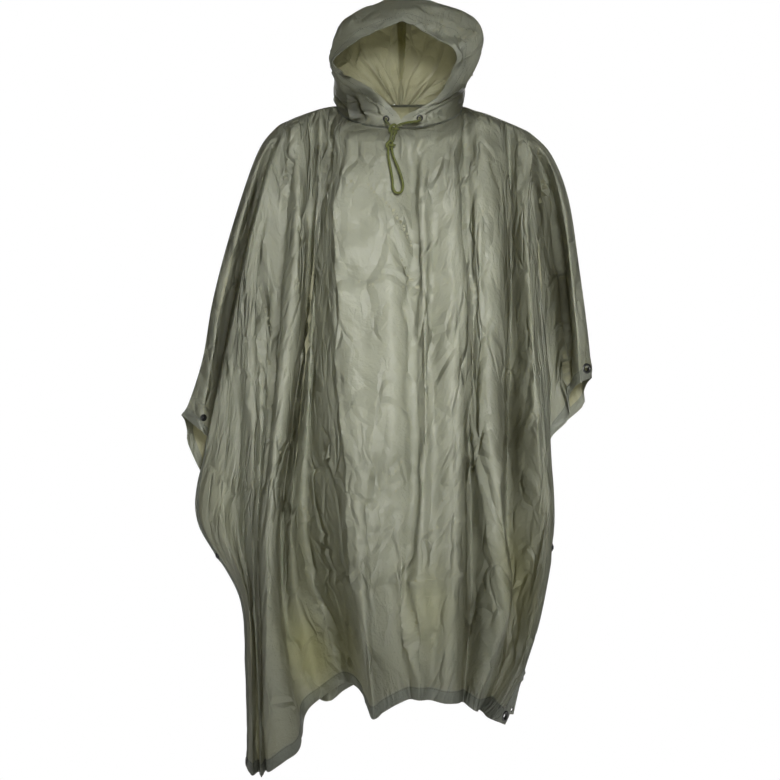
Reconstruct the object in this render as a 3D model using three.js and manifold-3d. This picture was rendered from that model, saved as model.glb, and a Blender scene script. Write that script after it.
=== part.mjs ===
// Hooded rain poncho in its worn form. Millimetres, +Z up, front towards -Y, origin at the neck.
import * as THREE from "three";
import { mergeVertices } from "three/addons/utils/BufferGeometryUtils.js";
import Module from "manifold-3d";

const wasm = await Module();
wasm.setup();

// Cloth and trim sizes
const WALL = 1.6;
const BAND = 1.2;
const GAP = 0.35;
const HEM = 22;
const TAPE_HALF = 6;
const RIDGE_Y = 5;
const CORD_R = 2.1;
const SEAT = 0.4;

// Neck ring where the hood is sewn to the panels
const RING = { x: -6, halfX: 112, front: 97, back: 86, side: 16, dropFront: 55, riseBack: 15 };

// Heights at which the fold tables give x, and at which they give depth
const X_LEVELS = [-170, -375, -580, -726, -863, -1008];
const Y_LEVELS = [-170, -478, -786];

// Front panel, a row per fold line: name, x at each X level, hem x and z, y at each Y level, hem y
const FRONT = [
  ["edge_l", null, null, -350, -372, -297, -282, -277, -1160, null, -15, 5, -52],
  ["arm_l1", null, null, -340, -353, -287, -275, -271, -1166, null, -50, -22, -74],
  ["arm_l2", null, null, -314, -318, -274, -266, -263, -1168, null, -85, -68, -92],
  ["arm_l3", null, -298, -291, -294, -268, -260, -255, -1169, null, -62, -40, -60],
  ["arm_l4", null, -273, -262, -265, -260, -253, -247, -1168, -85, -100, -98, -104],
  ["arm_l5", -239, -248, -250, -256, -253, -249, -241, -1162, -80, -75, -70, -80],
  ["crease_l", -206, -221, -237, -247, -246, -243, -232, -1155, -80, -95, -110, -120],
  ["ridge_l", -185, -199, -221, -233, -234, -231, -204, -1134, -112, -130, -142, -132],
  ["lip_l", -173, -181, -205, -219, -217, -195, -180, -1117, -98, -110, -112, -104],
  ["pit_l", -163, -173, -203, -220, -220, -200, -176, -1082, -60, -20, 25, 10],
  ["wall_l", -151, -165, -186, -200, -190, -154, -148, -1056, -92, -70, -5, 40],
  ["valley_l", -142, -160, -172, -178, -156, -109, -105, -1039, -85, -20, 45, 95],
  ["side_l", -129, -136, -137, -133, -112, -80, -75, -1034, -118, -95, -60, -30],
  ["front_l", -114, -105, -96, -89, -77, -60, -55, -1046, -150, -182, -198, -206],
  ["front_a", -71, -64, -60, -57, -54, -40, -35, -1037, -160, -197, -202, -202],
  ["front_b", -27, -20, -17, -18, -22, -15, -12, -1027, -166, -207, -190, -186],
  ["centre", 13, 20, 21, 14, 2, 5, 9, -1018, -150, -184, -190, -184],
  ["front_c", 31, 34, 35, 28, 24, 25, 26, -1014, -164, -206, -220, -216],
  ["pleat", 50, 48, 51, 50, 53, 45, 44, -1018, -156, -190, -205, -190],
  ["front_d", 75, 80, 77, 75, 75, 70, 68, -1022, -166, -206, -216, -202],
  ["front_r", 92, 104, 98, 94, 92, 91, 90, -1026, -160, -190, -206, -180],
  ["valley_r", 108, 119, 113, 117, 116, 115, 102, -1033, -118, -125, -92, -128],
  ["wedge_r", 128, 132, 131, 139, 141, 137, 112, -1038, -136, -156, -146, -146],
  ["ridge_r", 156, 153, 153, 158, 168, 152, 122, -1044, -130, -162, -176, -150],
  ["lip_r", 175, 172, 169, 174, 187, 162, 128, -1048, -98, -125, -142, -134],
  ["pit_r", 190, 192, 186, 186, 184, 168, 131, -1050, -36, 0, 25, -110],
  ["panel_r", 200, 210, 212, 212, 206, 173, 134, -1052, -72, -48, 8, -104],
  ["arm_r6", 214, 223, 234, 237, 219, 178, 137, -1053, -88, -84, -24, -112],
  ["arm_r5", 222, 232, 245, 249, 229, 183, 141, -1056, -80, -62, -48, -128],
  ["arm_r4", null, 241, 253, 258, 237, 187, 145, -1058, -50, -50, -52, -136],
  ["arm_r3", null, 250, 260, 265, 244, 192, 150, -1061, null, -32, -32, -134],
  ["arm_r2", null, null, 264, 270, 250, 197, 157, -1065, null, -10, -10, -128],
  ["edge_r", null, null, 268, 274, 255, 207, 176, -1076, null, 16, 12, -108],
];

// Where each fold line leaves the neck ring: name, degrees from the front
const RING_STARTS = [
  ["valley_l", -90],
  ["side_l", -66],
  ["front_l", -42],
  ["front_a", -23],
  ["front_b", -8],
  ["centre", 6],
  ["front_c", 19],
  ["pleat", 33],
  ["front_d", 49],
  ["front_r", 69],
  ["valley_r", 90],
];

// Where the others leave the shoulder: name, x, z
const SHOULDER_STARTS = [
  ["crease_l", -231, -24],
  ["ridge_l", -204, -8],
  ["lip_l", -182, 1],
  ["pit_l", -162, 8],
  ["wall_l", -141, 14],
  ["wedge_r", 130, 9],
  ["ridge_r", 151, 3],
  ["lip_r", 171, -5],
  ["pit_r", 188, -12],
  ["panel_r", 209, -21],
  ["arm_r6", 234, -35],
];

// Over the arms: name, ridge x z, strip x z, bottom of the deep fold x y z, its front lip x y z
const ARM_STARTS = [
  ["edge_l", -400, -540, -355, -572, -345, 22, -586, -352, -15, -585],
  ["arm_l1", -386, -517, -356, -541, -342, 34, -556, -340, -50, -545],
  ["arm_l2", -361, -437, -341, -452, -333, 40, -465, -321, -72, -460],
  ["arm_l3", -343, -333, -325, -349, -316, 42, -360, -299, -80, -360],
  ["arm_l4", -310, -207, -295, -222, -286, 38, -228, -270, -86, -231],
  ["arm_l5", -265, -73, -254, -85, -247, 12, -92, -237, -66, -103],
  ["arm_r5", 269, -73, 259, -87, 250, 16, -95, 226, -72, -119],
  ["arm_r4", 299, -152, 284, -168, 276, 44, -176, 239, -54, -198],
  ["arm_r3", 319, -282, 300, -297, 290, 46, -308, 250, -34, -320],
  ["arm_r2", 334, -396, 310, -408, 297, 40, -417, 262, -14, -430],
  ["edge_r", 341, -473, 316, -482, 302, 24, -500, 300, 14, -546],
];

// Back panel, a row per fold line: name, x at z -375, -580, -863, x and z at the hem, how far out it stands
const BACK = [
  ["edge_l", null, -350, -291, -272, -1140, 0.0],
  ["arm_l1", null, -337, -286, -250, -1148, 0.2],
  ["arm_l2", null, -318, -276, -245, -1143, 0.55],
  ["arm_l3", -298, -300, -266, -239, -1136, 0.8],
  ["arm_l4", -276, -278, -256, -231, -1130, 0.35],
  ["arm_l5", -254, -262, -240, -221, -1118, -0.5],
  ["crease_l", -236, -240, -230, -214, -1108, -0.9],
  ["ridge_l", -212, -220, -216, -202, -1100, -0.3],
  ["lip_l", -190, -196, -198, -186, -1094, 0.8],
  ["pit_l", -168, -176, -174, -166, -1086, 0.9],
  ["wall_l", -150, -154, -156, -150, -1080, -0.4],
  ["valley_l", -128, -132, -138, -134, -1074, -1.0],
  ["side_l", -102, -106, -112, -112, -1068, 0.2],
  ["front_l", -78, -80, -84, -86, -1064, 1.0],
  ["front_a", -54, -56, -62, -64, -1062, 0.3],
  ["front_b", -28, -30, -34, -38, -1060, -0.9],
  ["centre", 0, -2, -4, -8, -1058, -0.5],
  ["front_c", 28, 28, 24, 20, -1058, 0.7],
  ["pleat", 48, 50, 48, 44, -1060, 1.0],
  ["front_d", 72, 74, 72, 66, -1062, -0.3],
  ["front_r", 96, 98, 98, 90, -1064, -1.0],
  ["valley_r", 118, 122, 120, 110, -1068, 0.1],
  ["wedge_r", 138, 142, 140, 126, -1072, 0.9],
  ["ridge_r", 156, 160, 158, 140, -1076, 0.2],
  ["lip_r", 172, 180, 176, 150, -1080, 0.7],
  ["pit_r", 190, 196, 192, 157, -1084, -0.4],
  ["panel_r", 208, 212, 206, 163, -1088, 0.3],
  ["arm_r6", 224, 228, 218, 168, -1092, 0.55],
  ["arm_r5", 240, 240, 226, 172, -1096, 0.45],
  ["arm_r4", 252, 250, 233, 176, -1100, 0.15],
  ["arm_r3", 262, 258, 239, 181, -1104, -0.2],
  ["arm_r2", null, 264, 244, 187, -1107, -0.1],
  ["edge_r", null, 270, 258, 210, -1108, 0.0],
];
// Depth of the back along its middle, and how far its folds stand out, at each height
const BACK_BODY = [
  { z: 30, y: 92, fold: 1 },
  { z: -170, y: 138, fold: 11 },
  { z: -478, y: 162, fold: 36 },
  { z: -786, y: 172, fold: 52 },
  { z: -1150, y: 182, fold: 60 },
];
const BACK_HALF_WIDTH = 400;

// Hood hoops from face to nape, left half: foot degrees, then x y z of throat, cheek, wide, high
const HOOD_LEFT = [
  [-3, -7, -101, -20, -58, -96, 32, -127, -65, 80, -74, -101, 117],
  [-17, -34, -98, -16, -86, -92, 24, -131, -46, 80, -98, -70, 138],
  [-38, -84, -82, -2, -110, -72, 28, -131, -20, 92, -104, -24, 166],
  [-62, -112, -50, 8, -121, -34, 44, -128, 20, 108, -94, 32, 178],
  [-92, -122, 8, 30, -123, 26, 60, -118, 56, 110, -80, 82, 164],
  [-122, -108, 52, 38, -108, 64, 64, -98, 90, 98, -62, 114, 130],
  [-152, -64, 84, 40, -63, 92, 54, -54, 104, 72, -31, 116, 82],
  [-168, -30, 92, 33, -26, 92.6, 33, -18, 93.4, 33, -9, 93.8, 33],
];
// The same for the right half
const HOOD_RIGHT = [
  [2, 1, -101, -20, 58, -100, 14, 86, -95, 66, 76, -103, 104],
  [17, 34, -98, -18, 98, -86, 28, 141, -58, 124, 104, -80, 164],
  [38, 72, -82, -2, 106, -68, 36, 130, -22, 108, 100, -26, 178],
  [62, 98, -50, 10, 110, -34, 48, 122, 18, 112, 92, 32, 180],
  [92, 109, 8, 30, 112, 26, 60, 110, 56, 110, 76, 82, 166],
  [122, 96, 52, 38, 97, 64, 64, 90, 90, 98, 58, 114, 130],
  [152, 52, 84, 40, 52, 92, 54, 46, 104, 72, 27, 116, 82],
  [168, 18, 92, 33, 16, 92.6, 33, 11, 93.4, 33, 5, 93.8, 33],
];
// Centre seam of the hood, a row per hoop: x, y, z
const HOOD_SEAM = [
  [-3, -115, 145],
  [-3, -88, 180],
  [-3, -25, 212],
  [-2, 45, 212],
  [-2, 98, 182],
  [-2, 130, 138],
  [-3, 124, 86],
  [-4, 94, 33],
];

const V = (x, y, z) => new THREE.Vector3(x, y, z);

// Cubic through four numbers
function cubic(a, b, c, d, t) {
  const m0 = (c - a) / 2;
  const m1 = (d - b) / 2;
  const t2 = t * t;
  const t3 = t2 * t;
  return (2 * t3 - 3 * t2 + 1) * b + (t3 - 2 * t2 + t) * m0 + (3 * t2 - 2 * t3) * c + (t3 - t2) * m1;
}

function alongPoints(list, position) {
  const last = list.length - 1;
  const i = Math.min(Math.floor(position), last - 1);
  const t = position - i;
  const at = (k) => list[Math.max(0, Math.min(last, k))];
  const a = i > 0 ? at(i - 1) : at(0).clone().multiplyScalar(2).sub(at(1));
  const d = i + 2 <= last ? at(i + 2) : at(last).clone().multiplyScalar(2).sub(at(last - 1));
  const b = at(i);
  const c = at(i + 1);
  return V(cubic(a.x, b.x, c.x, d.x, t), cubic(a.y, b.y, c.y, d.y, t), cubic(a.z, b.z, c.z, d.z, t));
}

// Smooth value at height z through knots of [z, value] that go down
function atHeight(knots, z) {
  const last = knots.length - 1;
  if (z >= knots[0][0]) return knots[0][1];
  if (z <= knots[last][0]) return knots[last][1];
  let i = 0;
  while (z < knots[i + 1][0]) i += 1;
  const slope = (k) => {
    const p = knots[Math.max(0, k - 1)];
    const q = knots[Math.min(last, k + 1)];
    return (q[1] - p[1]) / (q[0] - p[0]);
  };
  const h = knots[i + 1][0] - knots[i][0];
  const t = (z - knots[i][0]) / h;
  const t2 = t * t;
  const t3 = t2 * t;
  const from = (2 * t3 - 3 * t2 + 1) * knots[i][1] + (t3 - 2 * t2 + t) * h * slope(i);
  return from + (3 * t2 - 2 * t3) * knots[i + 1][1] + (t3 - t2) * h * slope(i + 1);
}

function ringPoint(degrees) {
  const a = (degrees * Math.PI) / 180;
  const c = Math.cos(a);
  const depth = c > 0 ? RING.front : RING.back;
  const rise = c > 0 ? -RING.dropFront * c : -RING.riseBack * c;
  return V(RING.x + RING.halfX * Math.sin(a), RIDGE_Y - depth * c, RING.side + rise);
}

// The start of a fold line: its point on the ridge or ring, then three more down to where it hangs free
function headPoints(name, xTop, yTop, side) {
  const arm = ARM_STARTS.find((r) => r[0] === name);
  const edge = RIDGE_Y + side * 0.15;
  if (arm && side < 0) {
    return [
      V(arm[1], edge, arm[2]),
      V(arm[3], -30, arm[4]),
      V(arm[5], arm[6], arm[7]),
      V(arm[8], arm[9], arm[10]),
    ];
  }
  const ring = RING_STARTS.find((r) => r[0] === name);
  const shoulder = SHOULDER_STARTS.find((r) => r[0] === name);
  let start;
  if (arm) start = V(arm[1], edge, arm[2]);
  else if (shoulder) start = V(shoulder[1], edge, shoulder[2]);
  else {
    start = ringPoint(side < 0 ? ring[1] : 180 - ring[1]);
    start.y += side * 0.15;
  }
  const fall = ring && side < 0 ? start.z + 80 : 54;
  const straight = ring && side < 0 ? 0.75 : 0.35;
  const flare = ring ? 8 * Math.sign(start.x) * Math.max(0, Math.abs(start.x) / 112 - 0.5) : 0;
  const x = start.x + (xTop - start.x) * (arm ? 0.12 : 0.45);
  const y = start.y + (yTop - start.y) * (arm ? 0.92 : 0.72);
  const points = [start];
  [30, 60, 90].forEach((degrees) => {
    const a = (degrees * Math.PI) / 180;
    const out = Math.sin(a);
    const down = straight * (degrees / 90) + (1 - straight) * (1 - Math.cos(a));
    const across = start.x + (x - start.x) * out + flare * Math.sin(2 * a);
    points.push(V(across, start.y + (y - start.y) * out, start.z - fall * down));
  });
  return points;
}

// Points of one fold line: four of its head, then the rows of its body down to the hem
function foldLine(head, xKnots, yKnots, hemZ, bodyRows) {
  const lip = head[3];
  const xs = [[lip.z, lip.x], ...xKnots.filter((k) => k[0] < lip.z - 25)];
  const ys = [[lip.z, lip.y], ...yKnots.filter((k) => k[0] < lip.z - 25)];
  const points = [...head];
  for (let j = 1; j <= bodyRows; j += 1) {
    const g = j / bodyRows;
    const z = lip.z + (hemZ + HEM - lip.z) * g;
    points.push(V(atHeight(xs, z), atHeight(ys, z), z));
  }
  points.push(V(atHeight(xs, hemZ), atHeight(ys, hemZ), hemZ));
  return points;
}

function frontLines(bodyRows) {
  return FRONT.map((row) => {
    const [name, ...n] = row;
    const xAll = X_LEVELS.map((z, k) => [z, n[k]]);
    const xKnots = xAll.filter((k) => k[1] !== null && k[0] > n[7] + 40);
    xKnots.push([n[7], n[6]]);
    const yKnots = Y_LEVELS.map((z, k) => [z, n[8 + k]]).filter((k) => k[1] !== null);
    yKnots.push([n[7], n[11]]);
    const head = headPoints(name, xKnots[0][1], yKnots[0][1], -1);
    return foldLine(head, xKnots, yKnots, n[7], bodyRows);
  });
}

function backLines(bodyRows) {
  const middle = BACK_BODY.map((r) => [r.z, r.y]);
  const folds = BACK_BODY.map((r) => [r.z, r.fold]);
  return BACK.map((row) => {
    const [name, xWaist, xHip, xLow, xHem, zHem, stand] = row;
    const xAll = [[-375, xWaist], [-580, xHip], [-863, xLow], [zHem, xHem]];
    const xKnots = xAll.filter((k) => k[1] !== null);
    const yKnots = [-170, -478, -786, zHem].map((z) => {
      const x = atHeight(xKnots, z);
      const round = Math.sqrt(Math.max(0, 1 - (x / BACK_HALF_WIDTH) ** 2));
      const y = 22 + (atHeight(middle, z) - 22) * round ** 1.4;
      return [z, y + atHeight(folds, z) * stand];
    });
    const head = headPoints(name, xKnots[0][1], yKnots[0][1], 1);
    return foldLine(head, xKnots, yKnots, zHem, bodyRows);
  });
}

// A grid of points across the fold lines, with a column a hem's width in from each side edge
function panelGrid(lines, steps) {
  const last = lines.length - 1;
  return lines[0].map((_, j) => {
    const row = lines.map((line) => line[j]);
    const inL = Math.min(0.8, Math.max(0.2, HEM / row[0].distanceTo(row[1])));
    const inR = Math.min(0.8, Math.max(0.2, HEM / row[last].distanceTo(row[last - 1])));
    const positions = [0, inL];
    for (let k = 1; k < last; k += 1 / steps) positions.push(k);
    while (positions[positions.length - 1] > last - 1 + 1e-6) positions.pop();
    positions.push(last - inR, last);
    const points = positions.map((p) => alongPoints(row, p));
    if (j > 0) return points;
    const side = row[0].y < RIDGE_Y ? -1 : 1;
    points.forEach((p) => {
      p.y = side * Math.max(side * p.y, side * (RIDGE_Y + side * 0.17));
    });
    return points;
  });
}

// Unit normals of a grid; turn is 1 when rows times columns point out
function gridNormals(grid, turn) {
  const rows = grid.length;
  const cols = grid[0].length;
  return grid.map((row, j) =>
    row.map((p, i) => {
      const across = grid[j][Math.min(cols - 1, i + 1)].clone().sub(grid[j][Math.max(0, i - 1)]);
      const down = grid[Math.min(rows - 1, j + 1)][i].clone().sub(grid[Math.max(0, j - 1)][i]);
      return down.cross(across).normalize().multiplyScalar(turn);
    }),
  );
}

// Closed wall between the grid and its copy moved in by the thickness
function wallGeometry(grid, normals, thickness, turn, shape = grid) {
  const rows = grid.length;
  const cols = grid[0].length;
  const points = [];
  grid.flat().forEach((p) => points.push(p.x, p.y, p.z));
  grid.flat().forEach((p, k) => {
    const n = normals.flat()[k];
    points.push(p.x - n.x * thickness, p.y - n.y * thickness, p.z - n.z * thickness);
  });
  const inner = rows * cols;
  const index = [];
  const tri = (a, b, c) => {
    if (turn > 0) index.push(a, b, c);
    else index.push(a, c, b);
  };
  for (let j = 0; j < rows - 1; j += 1) {
    for (let i = 0; i < cols - 1; i += 1) {
      const a = j * cols + i;
      const b = a + 1;
      const c = a + cols;
      const d = c + 1;
      const one = shape[j][i].distanceTo(shape[j + 1][i + 1]);
      const two = shape[j][i + 1].distanceTo(shape[j + 1][i]);
      const pairs = one < two ? [[a, c, d], [a, d, b]] : [[a, c, b], [b, c, d]];
      pairs.forEach(([p, q, r]) => {
        tri(p, q, r);
        tri(inner + p, inner + r, inner + q);
      });
    }
  }
  const side = (a, b) => {
    tri(a, b, inner + b);
    tri(a, inner + b, inner + a);
  };
  for (let i = 0; i < cols - 1; i += 1) {
    side(i, i + 1);
    side((rows - 1) * cols + i + 1, (rows - 1) * cols + i);
  }
  for (let j = 0; j < rows - 1; j += 1) {
    side((j + 1) * cols, j * cols);
    side(j * cols + cols - 1, (j + 1) * cols + cols - 1);
  }
  const g = new THREE.BufferGeometry();
  g.setAttribute("position", new THREE.Float32BufferAttribute(points, 3));
  g.setIndex(index);
  return g;
}

const part = new THREE.Group();
part.name = "rain_poncho";
const looks = {
  shell: { color: 0x6f7058, roughness: 0.55, metalness: 0 },
  hem: { color: 0x66675a, roughness: 0.6, metalness: 0 },
  tape: { color: 0x3c3d30, roughness: 0.7, metalness: 0 },
  cord: { color: 0x6b7020, roughness: 0.8, metalness: 0 },
  metal: { color: 0x3a3a38, roughness: 0.35, metalness: 0.9 },
  snap: { color: 0x141414, roughness: 0.3, metalness: 0.8 },
};

function place(name, geometry, look) {
  const mesh = new THREE.Mesh(geometry, new THREE.MeshStandardMaterial(looks[look]));
  mesh.name = name;
  part.add(mesh);
  return mesh;
}

// Normals along the shoulder line have no y, so that the front and back walls meet on one flat joint
function flattenRidge(normals, grid) {
  const top = normals[0];
  top.forEach((n, i) => {
    const p = grid[0][i];
    if (Math.abs(p.y - RIDGE_Y) > 0.5) return;
    const q = grid[0][Math.min(top.length - 1, i + 1)];
    const r = grid[0][Math.max(0, i - 1)];
    const along = V(q.x - r.x, 0, q.z - r.z).normalize();
    n.set(-along.z, 0, along.x);
    if (n.z < 0) n.negate();
  });
}

// A band that follows part of a grid, moved in by a depth: rows and columns are [first, last]
function bandGeometry(grid, normals, rows, cols, depth, thickness, turn, trim) {
  const pick = (from) => from.slice(rows[0], rows[1] + 1).map((r) => r.slice(cols[0], cols[1] + 1));
  const n = pick(normals);
  const g = pick(grid).map((row, j) => row.map((p, i) => p.clone().addScaledVector(n[j][i], -depth)));
  const last = g[0].length - 1;
  g.forEach((row) => {
    const fromStart = Math.min(0.3, trim[0] / row[0].distanceTo(row[1]));
    const fromEnd = Math.min(0.3, trim[1] / row[last].distanceTo(row[last - 1]));
    const first = row[0].clone().lerp(row[1], fromStart);
    const end = row[last].clone().lerp(row[last - 1], fromEnd);
    row[0] = first;
    row[last] = end;
  });
  return wallGeometry(g, n, thickness, turn, pick(grid));
}

function asSolid(geometry) {
  const g = geometry.clone();
  g.deleteAttribute("normal");
  g.deleteAttribute("uv");
  const m = mergeVertices(g, 1e-3);
  return new wasm.Manifold(
    new wasm.Mesh({
      numProp: 3,
      vertProperties: m.attributes.position.array,
      triVerts: new Uint32Array(m.index.array),
    }),
  );
}

function fromSolid(solid) {
  const mesh = solid.getMesh();
  const count = mesh.numVert;
  const points = new Float32Array(count * 3);
  for (let k = 0; k < count; k += 1) {
    points.set(mesh.vertProperties.subarray(k * mesh.numProp, k * mesh.numProp + 3), k * 3);
  }
  const g = new THREE.BufferGeometry();
  g.setAttribute("position", new THREE.BufferAttribute(points, 3));
  g.setIndex(new THREE.BufferAttribute(mesh.triVerts, 1));
  return g;
}

// A turned piece about +Z set on a surface point with +Z along the normal
function setOn(geometry, point, normal, out) {
  const q = new THREE.Quaternion().setFromUnitVectors(V(0, 0, 1), normal);
  geometry.applyQuaternion(q);
  geometry.translate(point.x + normal.x * out, point.y + normal.y * out, point.z + normal.z * out);
  return geometry;
}

function turned(profile, segments) {
  const g = new THREE.LatheGeometry(profile.map(([r, z]) => new THREE.Vector2(r, z)), segments);
  return g.rotateX(Math.PI / 2);
}

function surfaceAt(grid, normals, row, col) {
  const blend = (from) => {
    const j = Math.min(grid.length - 2, Math.floor(row));
    const i = Math.min(grid[0].length - 2, Math.floor(col));
    const a = from[j][i].clone().lerp(from[j][i + 1], col - i);
    const b = from[j + 1][i].clone().lerp(from[j + 1][i + 1], col - i);
    return a.lerp(b, row - j);
  };
  return { point: blend(grid), normal: blend(normals).normalize() };
}

// Body panels and their hems
const frontGrid = panelGrid(frontLines(14), 2);
const frontNormals = gridNormals(frontGrid, 1);
flattenRidge(frontNormals, frontGrid);
const backGrid = panelGrid(backLines(9), 2);
const backNormals = gridNormals(backGrid, -1);
flattenRidge(backNormals, backGrid);

const panels = {
  front: { grid: frontGrid, normals: frontNormals, turn: 1 },
  back: { grid: backGrid, normals: backNormals, turn: -1 },
};
const solids = {};
Object.entries(panels).forEach(([name, p]) => {
  solids[name] = asSolid(wallGeometry(p.grid, p.normals, WALL, p.turn));
  const rows = p.grid.length - 1;
  const cols = p.grid[0].length - 1;
  const depth = WALL + GAP;
  const under = [
    ["hem_" + name, [rows - 1, rows], [1, cols - 1], [1.5, 1.5]],
    ["side_hem_" + name + "_l", [5, rows], [0, 1], [0, 1.5]],
    ["side_hem_" + name + "_r", [5, rows], [cols - 1, cols], [1.5, 0]],
  ];
  under.forEach(([hem, r, c, trim]) => {
    place(hem, bandGeometry(p.grid, p.normals, r, c, depth, BAND, p.turn, trim), "hem");
  });
});

// Where a wanted point falls on a panel
function nearestOn(p, target) {
  let best = { distance: 1e9 };
  for (let row = 0; row < p.grid.length - 1; row += 0.25) {
    for (let col = 0; col < p.grid[0].length - 1; col += 0.25) {
      const at = surfaceAt(p.grid, p.normals, row, col);
      const distance = at.point.distanceTo(target);
      if (distance < best.distance) best = { ...at, distance, row, col };
    }
  }
  return best;
}

// The middle of the hem square at a corner, or of the side hem at a height
function onSideHem(p, side, height) {
  const col = side < 0 ? 0.5 : p.grid[0].length - 1.5;
  let row = p.grid.length - 1.52;
  while (surfaceAt(p.grid, p.normals, row, col).point.z < height) row -= 0.05;
  return { ...surfaceAt(p.grid, p.normals, row, col), row, col };
}

// How far a flat disc has to stand off the panel so that it touches nowhere
function standOff(p, at, radius, gap) {
  let most = 0;
  for (let row = at.row - 1.5; row <= at.row + 1.5; row += 0.1) {
    for (let col = at.col - 3; col <= at.col + 3; col += 0.1) {
      if (row < 0 || col < 0 || row > p.grid.length - 1 || col > p.grid[0].length - 1) continue;
      const away = surfaceAt(p.grid, p.normals, row, col).point.sub(at.point);
      const height = away.dot(at.normal);
      const reach = Math.sqrt(Math.max(0, away.lengthSq() - height * height));
      if (reach < radius + 1.5 && Math.abs(height) < 9) most = Math.max(most, height);
    }
  }
  return most + gap;
}

// Hood halves
const HOOD_LIFT = 2.0;
const HOOD_ROWS = [0, 0.5, 1, 1.5, 2, 2.5, 3, 3.5, 4, 4.5, 5, 5.5, 6, 6.5, 7];
const HOOD_COLUMNS = [0, 0.5, 1, 1.5, 2, 2.5, 3, 3.5, 4, 4.5, 5];

function hoodGrid(table, side) {
  const hoops = table.map(([, ...n], k) => {
    const top = V(...HOOD_SEAM[k]);
    top.x += side * 0.17;
    const points = [0, 3, 6, 9].map((c) => V(n[c], n[c + 1], n[c + 2]));
    return [V(0, 0, 0), ...points, top];
  });
  return HOOD_ROWS.map((position) => {
    const i = Math.min(table.length - 2, Math.floor(position));
    const foot = ringPoint(table[i][0] + (table[i + 1][0] - table[i][0]) * (position - i));
    foot.z += HOOD_LIFT;
    const line = hoops[0].map((_, c) => alongPoints(hoops.map((h) => h[c]), position));
    line[0] = foot;
    return HOOD_COLUMNS.map((c) => alongPoints(line, c));
  });
}

function hoodHalf(table, side) {
  const grid = hoodGrid(table, side);
  const normals = gridNormals(grid, side);
  normals.forEach((row) => {
    const top = row[row.length - 1];
    top.x = 0;
    top.normalize();
    row[0].z = 0;
    row[0].normalize();
  });
  normals[0].slice(0, 3).forEach((n) => {
    n.x = 0;
    n.normalize();
  });
  return { grid, normals, turn: side };
}
panels.hood_l = hoodHalf(HOOD_LEFT, -1);
panels.hood_r = hoodHalf(HOOD_RIGHT, 1);
["hood_l", "hood_r"].forEach((name) => {
  const p = panels[name];
  const cols = p.grid[0].length - 1;
  solids[name] = asSolid(wallGeometry(p.grid, p.normals, WALL, p.turn));
  const trim = [0.4, 0.4];
  const band = bandGeometry(p.grid, p.normals, [0, 1], [2, cols], WALL + GAP, BAND, p.turn, trim);
  place(name.replace("hood", "casing"), band, "hem");
});

// Tape over the centre seam, on the inside of the hood
const tapeGrid = [];
const tapeNormals = [];
for (let j = 2; j <= 12; j += 1) {
  const points = [];
  const normals = [];
  [["hood_l", -1], ["hood_r", 1]].forEach(([name, side]) => {
    const p = panels[name];
    const end = p.grid[0].length - 1;
    const f = TAPE_HALF / p.grid[j][end].distanceTo(p.grid[j][end - 1]);
    const n = p.normals[j][end].clone().lerp(p.normals[j][end - 1], f).normalize();
    const out = p.grid[j][end].clone().lerp(p.grid[j][end - 1], f);
    const pair = [[out, n], [p.grid[j][end].clone(), p.normals[j][end]]];
    if (side > 0) pair.reverse();
    pair.slice(side > 0 ? 1 : 0).forEach(([q, m]) => {
      points.push(q.addScaledVector(m, -(WALL + 0.7)));
      normals.push(m);
    });
  });
  tapeGrid.push(points);
  tapeNormals.push(normals);
}
place("hood_seam_tape", wallGeometry(tapeGrid, tapeNormals, 0.8, -1), "tape");

// Metal eyelets set through the walls, and press studs on them
const EYELET = { flange: 9.5, hole: 5, barrel: 6, cut: 6.6, deep: 5.5 };
const eyelets = [
  ["eyelet_corner_r", "front", onSideHem(panels.front, 1, -2000)],
  ["eyelet_corner_l", "front", onSideHem(panels.front, -1, -2000)],
  ["eyelet_arm_r", "front", nearestOn(panels.front, V(322, -10, -452))],
  ["eyelet_back_corner_l", "back", onSideHem(panels.back, -1, -2000)],
  ["eyelet_back_corner_r", "back", onSideHem(panels.back, 1, -2000)],
];
const holes = (panel, at, radius) => {
  const tool = new THREE.CylinderGeometry(radius, radius, 16, 20);
  tool.rotateX(Math.PI / 2);
  const cutter = asSolid(setOn(tool, at.point, at.normal, 0));
  solids[panel] = solids[panel].subtract(cutter);
  part.children.forEach((mesh) => {
    if (!mesh.name.startsWith("hem_" + panel) && !mesh.name.startsWith("side_hem_" + panel)) return;
    mesh.geometry = fromSolid(asSolid(mesh.geometry).subtract(cutter));
  });
};
eyelets.forEach(([name, panel, at]) => {
  const out = standOff(panels[panel], at, EYELET.flange, SEAT * 3);
  holes(panel, at, EYELET.cut);
  const profile = [
    [EYELET.hole, -EYELET.deep],
    [EYELET.barrel, -EYELET.deep],
    [EYELET.barrel, 0],
    [EYELET.flange, 0],
    [EYELET.flange - 0.6, 1],
    [EYELET.hole + 0.8, 1.3],
    [EYELET.hole, 0.6],
    [EYELET.hole, -EYELET.deep],
  ];
  place(name, setOn(turned(profile, 18), at.point, at.normal, out), "metal");
});

const SNAP = { radius: 6.2, height: 2.6 };
const snaps = [
  ["snap_arm_l", "front", nearestOn(panels.front, V(-352, -24, -545))],
  ["snap_side_l", "front", onSideHem(panels.front, -1, -795)],
  ["snap_side_r", "front", onSideHem(panels.front, 1, -780)],
  ["snap_back_l", "back", onSideHem(panels.back, -1, -800)],
  ["snap_back_r", "back", onSideHem(panels.back, 1, -790)],
];
snaps.forEach(([name, panel, at]) => {
  const profile = [
    [0, 0],
    [SNAP.radius, 0],
    [SNAP.radius, SNAP.height * 0.6],
    [SNAP.radius * 0.7, SNAP.height],
    [0, SNAP.height],
  ];
  const out = standOff(panels[panel], at, SNAP.radius, SEAT);
  place(name, setOn(turned(profile, 16), at.point, at.normal, out), "snap");
});

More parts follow.
